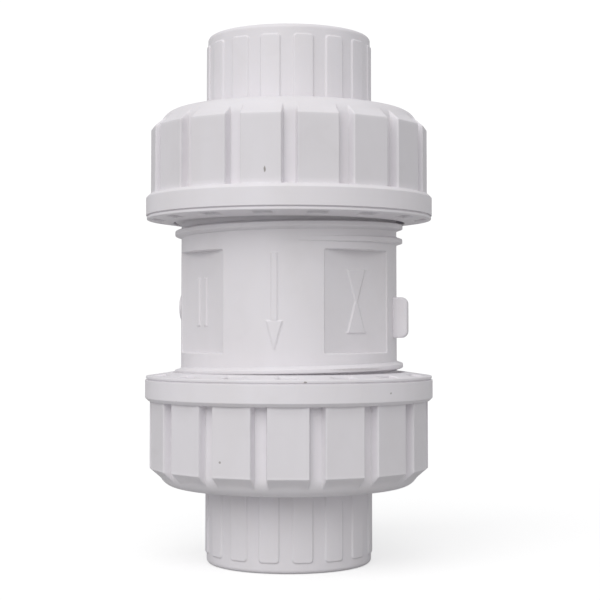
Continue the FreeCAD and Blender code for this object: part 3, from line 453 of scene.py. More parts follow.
def helical_ridge(shell, sizes, root, start, turns, inward=False, runout=0.0):
    """Add a ridge whose outline climbs one pitch a turn from +X at height `start`.

    The outline is a trapezoid with rounded edges whose foot flares into the wall. Over the run-out
    at each end it sinks evenly until its crest is inside the wall.
    """
    out = -1.0 if inward else 1.0
    crest, foot = sizes.crest / 2, sizes.root / 2
    if inward:
        crest = (sizes.pitch - sizes.root) / 2 - sizes.clearance
        foot = (sizes.pitch - sizes.crest) / 2 - sizes.clearance
    high = sizes.height
    side = [(-0.5 * MM, foot + 0.22 * MM), (0.0, foot + 0.12 * MM), (0.07 * high, foot),
            (0.20 * high, foot - 0.20 * (foot - crest)), (0.80 * high, crest + 0.20 * (foot - crest)),
            (0.93 * high, crest + 0.01 * MM), (0.985 * high, crest - 0.10 * MM),
            (high, crest - 0.20 * MM)]
    outline = np.array([(h, -w) for h, w in side] + [(h, w) for h, w in reversed(side)])
    sections = int(turns * 100)
    extra = runout / TURN
    t = np.linspace(0, turns, sections)
    if runout:
        t = np.concatenate([np.linspace(-extra, 0, 16, endpoint=False), t,
                            np.linspace(turns, turns + extra, 17)[1:]])
    beyond = np.maximum(-t, t - turns) / max(extra, 1e-9)
    sink = (high + 0.15 * MM) * np.clip(beyond, 0, 1) * (runout > 0)
    theta = (t * TURN)[:, None]
    r = root + out * (outline[None, :, 0] - sink[:, None])
    z = start + sizes.pitch * t[:, None] + outline[None, :, 1]
    points = placed(r, theta, z)
    across = len(outline)
    last = (len(t) - 1) * across
    return shell.add(points, grid_faces(len(t), across, False),
                     caps=[np.arange(across), last + np.arange(across)[::-1]])


def convex_distance(across, up, corners):
    """Signed distance outside an anticlockwise convex outline: the largest of its edge distances."""
    place = np.array(corners, float)
    ahead = np.roll(place, -1, axis=0)
    run = ahead - place
    normal = np.stack([run[:, 1], -run[:, 0]], -1) / np.linalg.norm(run, axis=1)[:, None]
    return np.max([n[0] * (across - p[0]) + n[1] * (up - p[1]) for n, p in zip(normal, place)], axis=0)


def box_distance(across, up, half_wide, half_tall, corner):
    """Signed distance outside a rectangle with rounded corners."""
    x = np.abs(across) - half_wide + corner
    y = np.abs(up) - half_tall + corner
    return np.hypot(np.maximum(x, 0), np.maximum(y, 0)) + np.minimum(np.maximum(x, y), 0) - corner


def inside(distance, soft):
    """1 inside an outline and 0 outside, with a smooth edge of width `soft`."""
    return soft_step(0.5 - distance / soft)


# ---------------------------------------------------------------- pieces in plastic
def flat_azimuths(sizes):
    """Middles of the four flats: two beside the arrow and two on the far side."""
    return [side + turn for side in (sizes.front, sizes.front + math.pi)
            for turn in (-sizes.flat_spread, sizes.flat_spread)]


def body_height(sizes, theta, z):
    """Height of the body's outer wall over the plain barrel, positive outwards.

    A flat is the plane at (radius x cos half angle - step), so its wall lies at that distance over
    cos(turn from the flat's middle), inside a window of the flat's turn and height. The arrow, the
    symbol and the bars are outlines in (arc length, height), raised by the relief.
    """
    radius = sizes.barrel
    front, half = sizes.front, sizes.flat_half
    plane = radius * math.cos(half) - sizes.flat_step
    up = z - sizes.flat_middle
    height = np.zeros(np.broadcast(theta, z).shape)
    for azimuth in flat_azimuths(sizes):
        turn = wrapped(theta - azimuth)
        across = radius * turn
        cut = radius - plane / np.cos(np.clip(turn, -1.2 * half, 1.2 * half))
        window = inside(box_distance(across, up, radius * half, sizes.flat_tall / 2, 0.5 * MM),
                        0.24 * MM)
        height = height - cut * window
    edge = 0.26 * MM
    across = radius * wrapped(theta - front - sizes.arrow_turn)
    foot = sizes.arrow_middle - sizes.arrow_long / 2
    neck = foot + sizes.head_long
    barb = sizes.head_wide / 2
    head = convex_distance(across, z, [(0, foot), (barb, neck), (-barb, neck)])
    top = foot + sizes.arrow_long
    shaft = box_distance(across, z - (neck + top) / 2, sizes.shaft_wide / 2, (top - neck) / 2, 0.2 * MM)
    raised = inside(np.minimum(head, shaft), edge)
    across = plane * np.tan(np.clip(wrapped(theta - front - sizes.flat_spread), -0.6, 0.6))
    wide, tall, waist = sizes.symbol_wide / 2, sizes.symbol_tall / 2, 0.35 * MM
    upper = convex_distance(across, up, [(-waist, 0), (waist, 0), (wide, tall), (-wide, tall)])
    lower = convex_distance(across, up, [(-wide, -tall), (wide, -tall), (waist, 0), (-waist, 0)])
    raised = np.maximum(raised, inside(np.minimum(upper, lower), edge))
    across = plane * np.tan(np.clip(wrapped(theta - front + sizes.flat_spread), -0.6, 0.6))
    for side in (-1, 1):
        bar = box_distance(across - side * sizes.bar_pitch / 2, up, sizes.bar_wide / 2,
                           sizes.bar_long / 2, 0.2 * MM)
        raised = np.maximum(raised, inside(bar, edge))
    return height + sizes.relief * raised


def rounded_plate(shell, centre, half_long, half_tall, half_thick, corner, edge, azimuth):
    """Add a plate that stands along a radius: a rounded rectangle in (radius, height), carried
    through its thickness and drawn in by a quarter circle at both faces."""
    turn = np.linspace(0, TURN, 64, endpoint=False)
    c, s = np.cos(turn), np.sin(turn)
    outline = np.stack([np.sign(np.round(c, 9)) * (half_long - corner) + corner * c,
                        np.sign(np.round(s, 9)) * (half_tall - corner) + corner * s], -1)
    quarter = np.linspace(math.pi / 2, 0, 6)
    drawn = np.concatenate([edge * (1 - np.cos(quarter)), edge * (1 - np.cos(quarter[::-1]))])
    thick = np.concatenate([-half_thick + edge * (1 - np.sin(quarter)),
                            half_thick - edge * (1 - np.sin(quarter[::-1]))])
    shrink = 1 - drawn[:, None, None] / np.array([half_long, half_tall])
    rows = outline[None] * shrink + np.array(centre)
    across = np.broadcast_to(thick[:, None], rows.shape[:2])
    ca, sa = math.cos(azimuth), math.sin(azimuth)
    out, up = rows[..., 0], rows[..., 1]
    points = np.stack([out * ca - across * sa, out * sa + across * ca, up], -1)
    last = (len(drawn) - 1) * 64
    return shell.add(points, grid_faces(len(drawn), 64, False),
                     caps=[np.arange(64), last + np.arange(64)[::-1]])


def boss(shell, radius, foot, reach, edge, azimuth, height):
    """Add a round boss that points outwards: an outline turned about a radius of the barrel."""
    local, dimple = Shell(), reach - 0.25 * MM
    turned_bar(local, [(0, foot, 0), (radius, foot, 0), (radius, reach, edge),
                       (0.36 * radius, reach, 0.1 * MM), (0.30 * radius, dimple, 0.1 * MM),
                       (0, dimple, 0)], 0.8 * MM, 48)
    p = np.concatenate(local.points)
    ca, sa = math.cos(azimuth), math.sin(azimuth)
    out, side = p[:, 2], p[:, 0]
    points = np.stack([out * ca - side * sa, out * sa + side * ca, p[:, 1] + height], -1)
    return shell.add(points, np.concatenate(local.quads))


def thread_start(sizes, half_length, end):
    """Height at which the centre of a body ridge crosses +X, in the frame of its own end."""
    return half_length - (sizes.upper_long if end == "upper" else sizes.lower_long)


class CHECK_VALVE_OT_body(bpy.types.Operator):
    """Moulded body: stepped tube with flats, arrow and marks, two thread ridges, tab and gate boss"""
    bl_idname = "check_valve.body"
    bl_label = "Valve Body"

    def execute(self, context):
        sizes, thread = context.scene.check_valve_body, context.scene.check_valve_thread
        half = sizes.half_length
        foot = sizes.arrow_middle - sizes.arrow_long / 2
        neck = foot + sizes.head_long
        middle, symbol = sizes.flat_middle, sizes.symbol_tall / 2 + 0.3 * MM
        rows = lines(-half + 1.2 * MM, half - 1.2 * MM, 1.8 * MM,
                     edge_zone(middle - sizes.flat_tall / 2, 0.45 * MM, 8),
                     edge_zone(middle + sizes.flat_tall / 2, 0.45 * MM, 8),
                     (foot - 0.3 * MM, neck + 0.3 * MM, 0.2 * MM),
                     edge_zone(foot + sizes.arrow_long, 0.3 * MM),
                     (middle - symbol, middle + symbol, 0.24 * MM),
                     edge_zone(middle - sizes.bar_long / 2, 0.3 * MM),
                     edge_zone(middle + sizes.bar_long / 2, 0.3 * MM))
        b, e, fine = sizes.barrel, 0.3 * MM, 0.1 * MM
        ledge = foot_of("seat_carrier") + context.scene.check_valve_inner.carrier_step
        shelf, guide = sizes.guide_shelf - half, sizes.guide_bore
        slot_low, slot_top = foot_of("guide_circlip") - 0.05 * MM, top_of("guide_circlip") + 0.05 * MM
        path = rounded_path([
            (b, -half, sizes.rounding), (b, half, sizes.rounding),
            (sizes.carrier_bore, half, e), (sizes.carrier_bore, ledge, 0.2 * MM),
            (sizes.chamber, ledge, e), (sizes.chamber, shelf, e), (guide, shelf, 0.2 * MM),
            (guide, slot_top, fine), (sizes.circlip_bore, slot_top, fine),
            (sizes.circlip_bore, slot_low, fine), (guide, slot_low, fine),
            (guide, -half, e)], 3.0 * MM, marks=[(1, 0, 1, rows)])
        front, spread, flat = sizes.front, sizes.flat_spread, sizes.flat_half
        arrow = front + sizes.arrow_turn
        zones = [(arrow - 2.3 * MM / b, arrow + 2.3 * MM / b, 0.2 * MM / b),
                 (front + spread - 3.1 * MM / b, front + spread + 3.1 * MM / b, 0.2 * MM / b)]
        for offset in (-sizes.bar_pitch / 2, sizes.bar_pitch / 2):
            for edge in (-sizes.bar_wide / 2, sizes.bar_wide / 2):
                zones.append(edge_zone(front - spread + (offset + edge) / b, 0.3 * MM / b))
        for azimuth in flat_azimuths(sizes):
            for side in (-flat, flat):
                zones.append(edge_zone(azimuth + side, 0.3 * MM / b))
        start = front - math.pi
        wrapped_zones = []
        for low, high, step in zones:
            shift = TURN if low < start else (-TURN if high > start + TURN else 0)
            wrapped_zones.append((low + shift, high + shift, step))
        theta = lines(start, start + TURN, TURN / 144, *wrapped_zones)[:-1]
        r, z = path[:, 0][:, None], path[:, 1][:, None]
        outer = (np.abs(r - b) < 1e-7) * 1.0
        radius = r + outer * body_height(sizes, theta[None, :], z)
        points = placed(radius, theta, z)
        shell = Shell().add(points, grid_faces(len(path), len(theta), True))
        tab_half = 3.5 * MM
        rounded_plate(shell, (sizes.tab_reach - tab_half, sizes.tab_middle), tab_half, sizes.tab_tall / 2,
                      sizes.tab_thick / 2, sizes.tab_corner, 0.4 * MM, front + sizes.tab_turn)
        boss(shell, sizes.gate_radius, b - 2 * MM, sizes.gate_reach, 0.3 * MM, front - math.pi / 2,
             sizes.gate_middle)
        for end in ("upper", "lower"):
            ridge = Shell()
            start_z = thread_start(thread, half, end)
            helical_ridge(ridge, thread, b, start_z, (half - thread.top_gap - start_z) / thread.pitch,
                          runout=thread.runout)
            if end == "lower":
                ridge.turned_over()
            shell.add(np.concatenate(ridge.points), np.concatenate(ridge.quads))
        shell.piece("Moulded_body", "valve", "valve_body", "body_plastic")
        return {"FINISHED"}


def nut_shell(sizes, thread, half_length, end):
    """Union nut, mouth down, a pad or channel where its azimuth says.

    The outline is turned round the axis. On the grip wall it is moved out to the pad's plane
    (reach over cos of the turn from the pad's middle), held under the pads' sloping end, by a weight
    that falls smoothly from 1 to 0 across the drafted wall beside the pad. The rim's upper face is
    squeezed to match. The open face is a cone, and a pocket is a window in (radius, arc length) of
    it that is pushed up to a level floor.
    """
    closed_end, open_foot = sizes.closed_end, sizes.open_foot
    open_end = open_foot + sizes.face_drop
    rim_top, seat = open_end + sizes.rim_tall, closed_end - sizes.plate
    lip, groove_top = open_end + sizes.lip_tall, open_end + sizes.lip_tall + sizes.line_wide
    rim, core, fillet = sizes.rim, sizes.core, 0.35 * MM
    lip_reach, groove_floor = rim - sizes.lip_drop, rim - sizes.lip_drop - sizes.line_deep
    shelf = rim - sizes.rim_chamfer
    end_start = closed_end - sizes.pad_end
    near, far = sizes.pocket_ring - sizes.pocket_wide / 2, sizes.pocket_ring + sizes.pocket_wide / 2
    path = rounded_path([
        (rim, groove_top, 0.08 * MM), (rim, rim_top - sizes.rim_chamfer, 0.3 * MM),
        (shelf, rim_top, 0.3 * MM), (core, rim_top, fillet), (core, closed_end, sizes.shoulder, 18),
        (sizes.hole, closed_end, 0.4 * MM), (sizes.hole, seat, 0.2 * MM),
        (sizes.bore, seat, 0.4 * MM), (sizes.bore, open_foot, 0.35 * MM),
        (lip_reach, open_end, 0.18 * MM), (lip_reach, lip, 0.06 * MM, 2),
        (groove_floor, lip, 0.05 * MM, 2), (groove_floor, groove_top, 0.05 * MM, 2)], 1.6 * MM,
        marks=[(1, 3, 4, lines(rim_top, closed_end, 1.6 * MM,
                               (end_start - 0.5 * MM, closed_end, 0.16 * MM))),
               (0, 8, 9, lines(sizes.bore, rim, 0.9 * MM, edge_zone(near, 0.2 * MM),
                               edge_zone(far, 0.2 * MM)))])
    r, z = path[:, 0], path[:, 1]
    pitch = TURN / sizes.pads
    pad_edge, wall = math.atan(sizes.pad_half / sizes.pad_reach), sizes.pad_wall / core
    pocket, fine = sizes.pocket_long / 2 / sizes.pocket_ring, 0.2 * MM / rim
    side = np.concatenate([np.linspace(pad_edge - 0.008, pad_edge + wall + 0.008, 10),
                           np.linspace(pocket - fine, pocket + fine, 5),
                           [0.35 * pad_edge, 0.8 * pad_edge, (pad_edge + wall + pitch / 2) / 2]])
    phi = np.sort(np.concatenate([[0.0, pitch / 2], side, -side]))
    first = sizes.upper_turn if end == "upper" else -sizes.lower_turn
    theta = (first + np.arange(sizes.pads)[:, None] * pitch + phi).ravel()
    phi = np.tile(phi, sizes.pads)
    weight = 1 - soft_step((np.abs(phi) - pad_edge) / wall)
    beyond = np.maximum(0, z - end_start)
    limit = sizes.pad_reach - math.tan(sizes.pad_slope) * (beyond + 2 * np.maximum(0, beyond - 2.2 * MM))
    gain = limit[:, None] / np.cos(phi) - np.minimum(r, core)[:, None]
    gain = 0.5 * (gain + np.sqrt(gain ** 2 + (0.3 * MM) ** 2))
    grip = (z > rim_top - 1e-6) & (r > core - sizes.shoulder - 1e-6)
    squeeze = grip * np.clip((shelf - r) / (shelf - core), 0, 1)
    radius = r[:, None] + squeeze[:, None] * weight * gain
    coned = open_foot + sizes.face_drop * (r - sizes.bore) / (lip_reach - sizes.bore)
    face = np.abs(z - coned) < 0.02 * MM
    distance = box_distance(r[:, None] - sizes.pocket_ring, phi * sizes.pocket_ring,
                            sizes.pocket_wide / 2, sizes.pocket_long / 2, 0.25 * MM)
    sunk = (open_end + sizes.pocket_deep - z)[:, None]
    height = z[:, None] + face[:, None] * sunk * inside(distance, 0.3 * MM)
    points = placed(radius, theta, height)
    shell = Shell().add(points, grid_faces(len(path), len(theta), True))
    skip = thread.upper_skip if end == "upper" else thread.lower_skip
    start = thread_start(thread, half_length, end) + (skip + 0.5) * thread.pitch
    helical_ridge(shell, thread, sizes.bore, start, thread.nut_turns, inward=True)
    return shell.turned_over() if end == "lower" else shell


class CHECK_VALVE_OT_nuts(bpy.types.Operator):
    """Both union nuts, with grip pads, rounded shoulder, face pockets and inside thread"""
    bl_idname = "check_valve.nuts"
    bl_label = "Union Nuts"

    def execute(self, context):
        scene = context.scene
        for end, body in (("upper", "inlet_nut"), ("lower", "outlet_nut")):
            shell = nut_shell(scene.check_valve_nut, scene.check_valve_thread,
                              scene.check_valve_body.half_length, end)
            shell.piece(f"{end.capitalize()}_nut", body, f"{end}_union_nut", "nut_plastic")
        return {"FINISHED"}


def connector_shell(sizes, end):
    """Flanged socket: its outline is turned round the axis, and the outside of the socket rises by
    the panel's rise inside 16 rounded rectangles in (arc length, height)."""
    face, mouth, socket = sizes.face, sizes.mouth, sizes.socket
    flange_top = face + sizes.flange_thick
    stop = mouth - sizes.pipe_depth
    inner, outer = sizes.groove - sizes.groove_half, sizes.groove + sizes.groove_half
    end_line = mouth - sizes.panel_gap
    foot = flange_top + 1.6 * MM
    rows = lines(flange_top, mouth, 2.0 * MM, (end_line - 1.1 * MM, end_line + 0.3 * MM, 0.12 * MM),
                 edge_zone(foot, 0.3 * MM))
    e = 0.2 * MM
    path = rounded_path([
        (sizes.flange, face, 0.3 * MM), (sizes.flange, flange_top, 0.5 * MM),
        (socket, flange_top, 0.5 * MM), (socket, mouth, sizes.rounding, 8),
        (sizes.pipe + 0.9 * MM, mouth, 0.25 * MM), (sizes.pipe, mouth - 0.9 * MM, 0.2 * MM),
        (sizes.pipe, stop, 0.4 * MM), (sizes.through, stop, 0.4 * MM), (sizes.through, face, 0.3 * MM),
        (inner, face, e), (inner, face + sizes.groove_deep, e),
        (outer, face + sizes.groove_deep, e), (outer, face, e)], 1.8 * MM, marks=[(1, 2, 3, rows)])
    r, z = path[:, 0][:, None], path[:, 1][:, None]
    pitch = TURN / sizes.panels
    edge = sizes.panel_half
    side = np.append(np.linspace(edge - 1.0 * MM / socket, edge + 0.28 * MM / socket, 9), 0.5 * edge)
    sector = np.sort(np.concatenate([[0.0, pitch / 2], side, -side]))
    turn0 = sizes.upper_turn if end == "upper" else -sizes.lower_turn
    theta = (turn0 + np.arange(sizes.panels)[:, None] * pitch + sector).ravel()
    phi = np.tile(sector, sizes.panels)[None, :]
    distance = box_distance(phi * socket, z - (foot + end_line) / 2, edge * socket,
                            (end_line - foot) / 2, sizes.panel_corner)
    radius = r + (np.abs(r - socket) < 1e-7) * sizes.panel_rise * inside(distance, 0.34 * MM)
    points = placed(radius, theta, z)
    shell = Shell().add(points, grid_faces(len(path), len(theta), True))
    return shell.turned_over() if end == "lower" else shell


class CHECK_VALVE_OT_connectors(bpy.types.Operator):
    """Both end connectors: clamped flange, O-ring groove and ribbed solvent socket"""
    bl_idname = "check_valve.connectors"
    bl_label = "End Connectors"

    def execute(self, context):
        for end, body in (("upper", "inlet_connector"), ("lower", "outlet_connector")):
            connector_shell(context.scene.check_valve_connector, end).piece(
                f"{end.capitalize()}_socket", body, f"{end}_end_connector", "socket_plastic")
        return {"FINISHED"}


# ---------------------------------------------------------------- pieces inside
def middle_of(node):
    return (top_of(node) + foot_of(node)) / 2


class CHECK_VALVE_OT_seals(bpy.types.Operator):
    """Three O-rings: circles carried round the axis"""
    bl_idname = "check_valve.seals"
    bl_label = "O-Rings"

    def execute(self, context):
        for name, body, node in (("Upper_face_ring", "inlet_connector", "upper_face_o_ring"),
                                 ("Lower_face_ring", "outlet_connector", "lower_face_o_ring"),
                                 ("Carrier_ring", "valve", "carrier_o_ring")):
            section = top_of(node) - foot_of(node)
            torus(Shell(), reach_of(node) - section / 2, section, middle_of(node)).piece(
                name, body, node, "seal_rubber")
        return {"FINISHED"}


class CHECK_VALVE_OT_seat(bpy.types.Operator):
    """Seat carrier: turned ring with the seat lip, a lead-in at its mouth and an O-ring groove"""
    bl_idname = "check_valve.seat"
    bl_label = "Seat Carrier"

    def execute(self, context):
        foot, top, reach = foot_of("seat_carrier"), top_of("seat_carrier"), reach_of("seat_carrier")
        sizes = context.scene.check_valve_inner
        shelf, throat, lip = foot + sizes.carrier_step, sizes.throat, sizes.lip
        outer = lip + sizes.lip_wide
        ring_middle, ring_half = middle_of("carrier_o_ring"), sizes.ring_groove_half
        section = top_of("carrier_o_ring") - foot_of("carrier_o_ring")
        bottom = reach_of("carrier_o_ring") - section - 0.05 * MM
        e = 0.25 * MM
        ring(Shell(), [
            (throat, shelf, e), (lip, shelf, 0.15 * MM), (lip, foot, 0.3 * MM), (outer, foot, 0.3 * MM),
            (outer, shelf, 0.2 * MM), (reach, shelf, e), (reach, ring_middle - ring_half, e),
            (bottom, ring_middle - ring_half, e), (bottom, ring_middle + ring_half, e),
            (reach, ring_middle + ring_half, e), (reach, top, e), (throat + MM, top, e),
            (throat, top - MM, e)], around=160).piece(
                "Seat_ring", "valve", "seat_carrier", "inner_plastic")
        return {"FINISHED"}


def hexagon_nut(shell, flats, bore, foot, top):
    """Add a hexagon nut: its wall lies at half the flats over cos of the turn from a flat's middle,
    held inside a 30 degree cone at each end, round a plain bore."""
    edge = 0.6 * MM
    rows = lines(foot, top, 1.2 * MM, (foot, foot + edge, edge / 7), (top - edge, top, edge / 7))
    inner = lines(foot, top, 1.5 * MM)[::-1]
    theta = np.linspace(0, TURN, 120, endpoint=False)
    phi = (theta + math.pi / 6) % (math.pi / 3) - math.pi / 6
    wall = flats / 2 / np.cos(phi)[None, :]
    depth = np.minimum(rows - foot, top - rows)[:, None]
    wall = np.minimum(wall, flats / 2 * 0.97 + depth * math.tan(math.pi / 3))
    radius = np.concatenate([wall, np.full((len(inner), len(theta)), bore)])
    z = np.broadcast_to(np.concatenate([rows, inner])[:, None], radius.shape)
    points = placed(radius, theta, z)
    return shell.add(points, grid_faces(len(z), len(theta), True))


class CHECK_VALVE_OT_poppet(bpy.types.Operator):
    """Poppet: disc, flat seal, clamping washer, guide stem, spring washer and lock nut"""
    bl_idname = "check_valve.poppet"
    bl_label = "Poppet"

    def execute(self, context):
        sizes, spring = context.scene.check_valve_inner, context.scene.check_valve_spring
        bore, stem, e = sizes.bore, sizes.stem, 0.3 * MM
        spigot = spring.mean - spring.wire / 2 - 0.3 * MM
        disc = reach_of("poppet_disc")
        low, high = foot_of("poppet_disc"), top_of("poppet_disc")
        ring(Shell(), [(bore, low, 0.1 * MM), (spigot, low, 0.5 * MM), (spigot, low + 2 * MM, 0.4 * MM),
                       (disc - MM, low + 2 * MM, 0.2 * MM), (disc, low + 3 * MM, 0.2 * MM),
                       (disc, high, 0.15 * MM),
                       (bore, high, 0.1 * MM)]).piece(
                           "Poppet_plate", "poppet", "poppet_disc", "inner_plastic")
        low, high = foot_of("disc_seal"), top_of("disc_seal")
        ring(Shell(), [(bore, low, 0.1 * MM), (disc, low, 0.2 * MM), (disc, high, 0.25 * MM),
                       (bore, high, 0.1 * MM)]).piece(
                           "Flat_seal", "poppet", "disc_seal", "seal_rubber")
        low, high, reach = foot_of("seal_washer"), top_of("seal_washer"), reach_of("seal_washer")
        ring(Shell(), [(bore, low, 0.1 * MM), (reach, low, 0.1 * MM), (reach, high, 0.4 * MM),
                       (bore, high, 0.15 * MM)]).piece(
                           "Clamping_washer", "poppet", "seal_washer", "stainless")
        low, high = foot_of("guide_stem"), top_of("guide_stem")
        collar, head = reach_of("guide_stem"), foot_of("poppet_disc")
        turned_bar(Shell(), [
            (0, low, 0), (stem - 0.6 * MM, low, 0.1 * MM), (stem, low + 0.6 * MM, 0.1 * MM),
            (stem, head - 1.6 * MM, 0.2 * MM), (collar, head - 1.6 * MM, 0.2 * MM),
            (collar, head, 0.1 * MM),
            (stem, head, 0.1 * MM), (stem, high - 0.5 * MM, 0.1 * MM), (stem - 0.5 * MM, high, 0.1 * MM),
            (0, high, 0)]).piece("Stem", "poppet", "guide_stem", "stainless")
        low, high = foot_of("stem_lock_washer"), top_of("stem_lock_washer")
        reach = reach_of("stem_lock_washer")
        ring(Shell(), [(bore, low, 0.1 * MM), (reach, low, e), (reach, high, e), (bore, high, 0.1 * MM)],
             around=96).piece("Lock_washer", "poppet", "stem_lock_washer", "stainless")
        hexagon_nut(Shell(), sizes.nut_flats, bore, foot_of("stem_lock_nut"),
                    top_of("stem_lock_nut")).piece(
            "Lock_nut", "poppet", "stem_lock_nut", "stainless")
        return {"FINISHED"}


class CHECK_VALVE_OT_guide(bpy.types.Operator):
    """Stem guide and retaining ring in their finishes, with a new bush and spring seat washer"""
    bl_idname = "check_valve.guide"
    bl_label = "Stem Guide"

    def execute(self, context):
        for node, material in (("stem_guide", "inner_plastic"), ("guide_circlip", "spring_steel")):
            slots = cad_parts[node].material_slots
            for slot in slots:
                slot.material = finish(material)
            if not slots:
                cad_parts[node].data.materials.append(finish(material))
        low, high, reach = foot_of("guide_bush"), top_of("guide_bush"), reach_of("guide_bush")
        sizes = context.scene.check_valve_inner
        bore, wall, e = sizes.bush_bore, sizes.bush_wall, 0.15 * MM
        ring(Shell(), [(bore, low, e), (wall, low, 0.3 * MM), (wall, top_of("stem_guide"), 0.1 * MM),
                       (reach, top_of("stem_guide"), 0.1 * MM), (reach, high, 0.25 * MM),
                       (bore, high, 0.3 * MM)],
             around=96).piece("Bush", "valve", "guide_bush", "bush_plastic")
        low, high = foot_of("spring_seat_washer"), top_of("spring_seat_washer")
        bore, reach = sizes.washer_bore, reach_of("spring_seat_washer")
        ring(Shell(), [(bore, low, 0.1 * MM), (reach, low, 0.1 * MM), (reach, high, e), (bore, high, e)],
             around=96).piece(
                           "Spring_seat", "valve", "spring_seat_washer", "stainless")
        return {"FINISHED"}


class CHECK_VALVE_OT_spring(bpy.types.Operator):
    """Closing spring: a circle carried up a helix that closes on itself at both ground ends"""
    bl_idname = "check_valve.spring"
    bl_label = "Closing Spring"

    def execute(self, context):
        sizes = context.scene.check_valve_spring
        low, high = foot_of("closing_spring"), top_of("closing_spring")
        turns = sizes.coils + 2 * sizes.dead
        t = np.linspace(0, turns, int(turns * 72) + 1)
        shut = 1.03 * sizes.wire
        rise = high - low - 0.5 * sizes.wire
        from_end = np.minimum(t, turns - t)
        opening = soft_step((from_end - sizes.dead + 0.2) / 0.4)
        steps = (opening[1:] + opening[:-1]) / 2 * np.diff(t)
        open_pitch = (rise - shut * (turns - steps.sum())) / steps.sum()
        centre = low + 0.25 * sizes.wire + np.concatenate([[0], np.cumsum(
            shut * (np.diff(t) - steps) + open_pitch * steps)])
        around = np.linspace(0, TURN, 16, endpoint=False)
        theta = (t * TURN)[:, None]
        radius = sizes.mean + sizes.wire / 2 * np.cos(around)
        z = np.clip(centre[:, None] + sizes.wire / 2 * np.sin(around), low, high)
        points = placed(radius, theta, z)
        last = (len(t) - 1) * 16
        shell = Shell().add(points, grid_faces(len(t), 16, False),
                            caps=[np.arange(16), last + np.arange(16)[::-1]])
        spring = shell.piece("Spring", "valve", "closing_spring", "spring_steel")
        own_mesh(spring)
        return {"FINISHED"}


# ---------------------------------------------------------------- finishes
def new_group(name, inputs, outputs):
    """Wires of an empty node group with float or vector inputs (name: default) and float outputs."""
    group = bpy.data.node_groups.new(name, "ShaderNodeTree")
    for label, default in inputs.items():
        kind = "NodeSocketVector" if isinstance(default, tuple) else "NodeSocketFloat"
        group.interface.new_socket(name=label, in_out="INPUT", socket_type=kind).default_value = default
    for label in outputs:
        group.interface.new_socket(name=label, in_out="OUTPUT", socket_type="NodeSocketFloat")
    return Wires(group)


class Wires:
    """Adds nodes to a tree and joins them; every argument may be a number, a vector or a socket."""

    def __init__(self, tree):
        self.tree = tree
        self.ends = {}

    def node(self, kind, **settings):
        made = self.tree.nodes.new("ShaderNode" + kind)
        for key, value in settings.items():
            setattr(made, key, value)
        return made

    def end(self, kind):
        if kind not in self.ends:
            self.ends[kind] = self.tree.nodes.new("NodeGroup" + kind)
        return self.ends[kind]

    def given(self, label):
        return self.end("Input").outputs[label]

    def give(self, label, socket):
        self.tree.links.new(socket, self.end("Output").inputs[label])

    def join(self, source, target):
        if isinstance(source, bpy.types.NodeSocket):
            self.tree.links.new(source, target)
        else:
            target.default_value = source

    def place(self):
        return self.node("TexCoord").outputs["Object"]

    def math(self, operation, *values):
        made = self.node("Math", operation=operation)
        for value, socket in zip(values, made.inputs):
            self.join(value, socket)
        return made.outputs[0]

    def vector(self, operation, *values):
        made = self.node("VectorMath", operation=operation)
        for value, socket in zip(values, made.inputs):
            self.join(value, socket)
        return made.outputs["Value" if operation in ("LENGTH", "DOT_PRODUCT", "DISTANCE") else "Vector"]

    def ramp(self, value, low, high):
        """Smooth rise from 0 at `low` to 1 at `high`."""
        made = self.node("MapRange", interpolation_type="SMOOTHSTEP")
        self.join(value, made.inputs["Value"])
        self.join(low, made.inputs["From Min"])
        self.join(high, made.inputs["From Max"])
        return made.outputs["Result"]

    def noise(self, scale, detail=2.0, vector=None, distortion=0.0):
        made = self.node("TexNoise")
        self.join(vector or self.place(), made.inputs["Vector"])
        self.join(scale, made.inputs["Scale"])
        made.inputs["Detail"].default_value = detail
        made.inputs["Distortion"].default_value = distortion
        return made.outputs["Fac"]

    def mix(self, factor, a, b):
        made = self.node("Mix", data_type="RGBA")
        self.join(factor, made.inputs["Factor"])
        for value, socket in ((a, made.inputs[6]), (b, made.inputs[7])):
            if isinstance(value, bpy.types.NodeSocket):
                self.tree.links.new(value, socket)
            else:
                socket.default_value = (*value, 1.0)
        return made.outputs[2]

    def use(self, name, **values):
        """Place a node group by name and give its inputs; returns its outputs."""
        made = self.node("Group", node_tree=bpy.data.node_groups[name])
        for label, value in values.items():
            self.join(value, made.inputs[label.replace("_", " ")])
        return made.outputs


def moulded_skin_group():
    """Moulded skin: fine spark grain and a broad orange peel as Height, slow flow marks as Tone."""
    w = new_group("Moulded Skin", {"Grain Scale": 2600.0, "Peel Scale": 260.0, "Grain": 0.35},
                  ("Height", "Tone"))
    grain = w.noise(w.given("Grain Scale"), 3.0)
    peel = w.noise(w.given("Peel Scale"), 1.0)
    w.give("Height", w.math("ADD", w.math("MULTIPLY", grain, w.given("Grain")), peel))
    stretched = w.vector("MULTIPLY", w.place(), (1.0, 1.0, 0.35))
    flow = w.noise(70.0, 3.0, stretched, 0.6)
    w.give("Tone", w.ramp(flow, 0.30, 0.72))


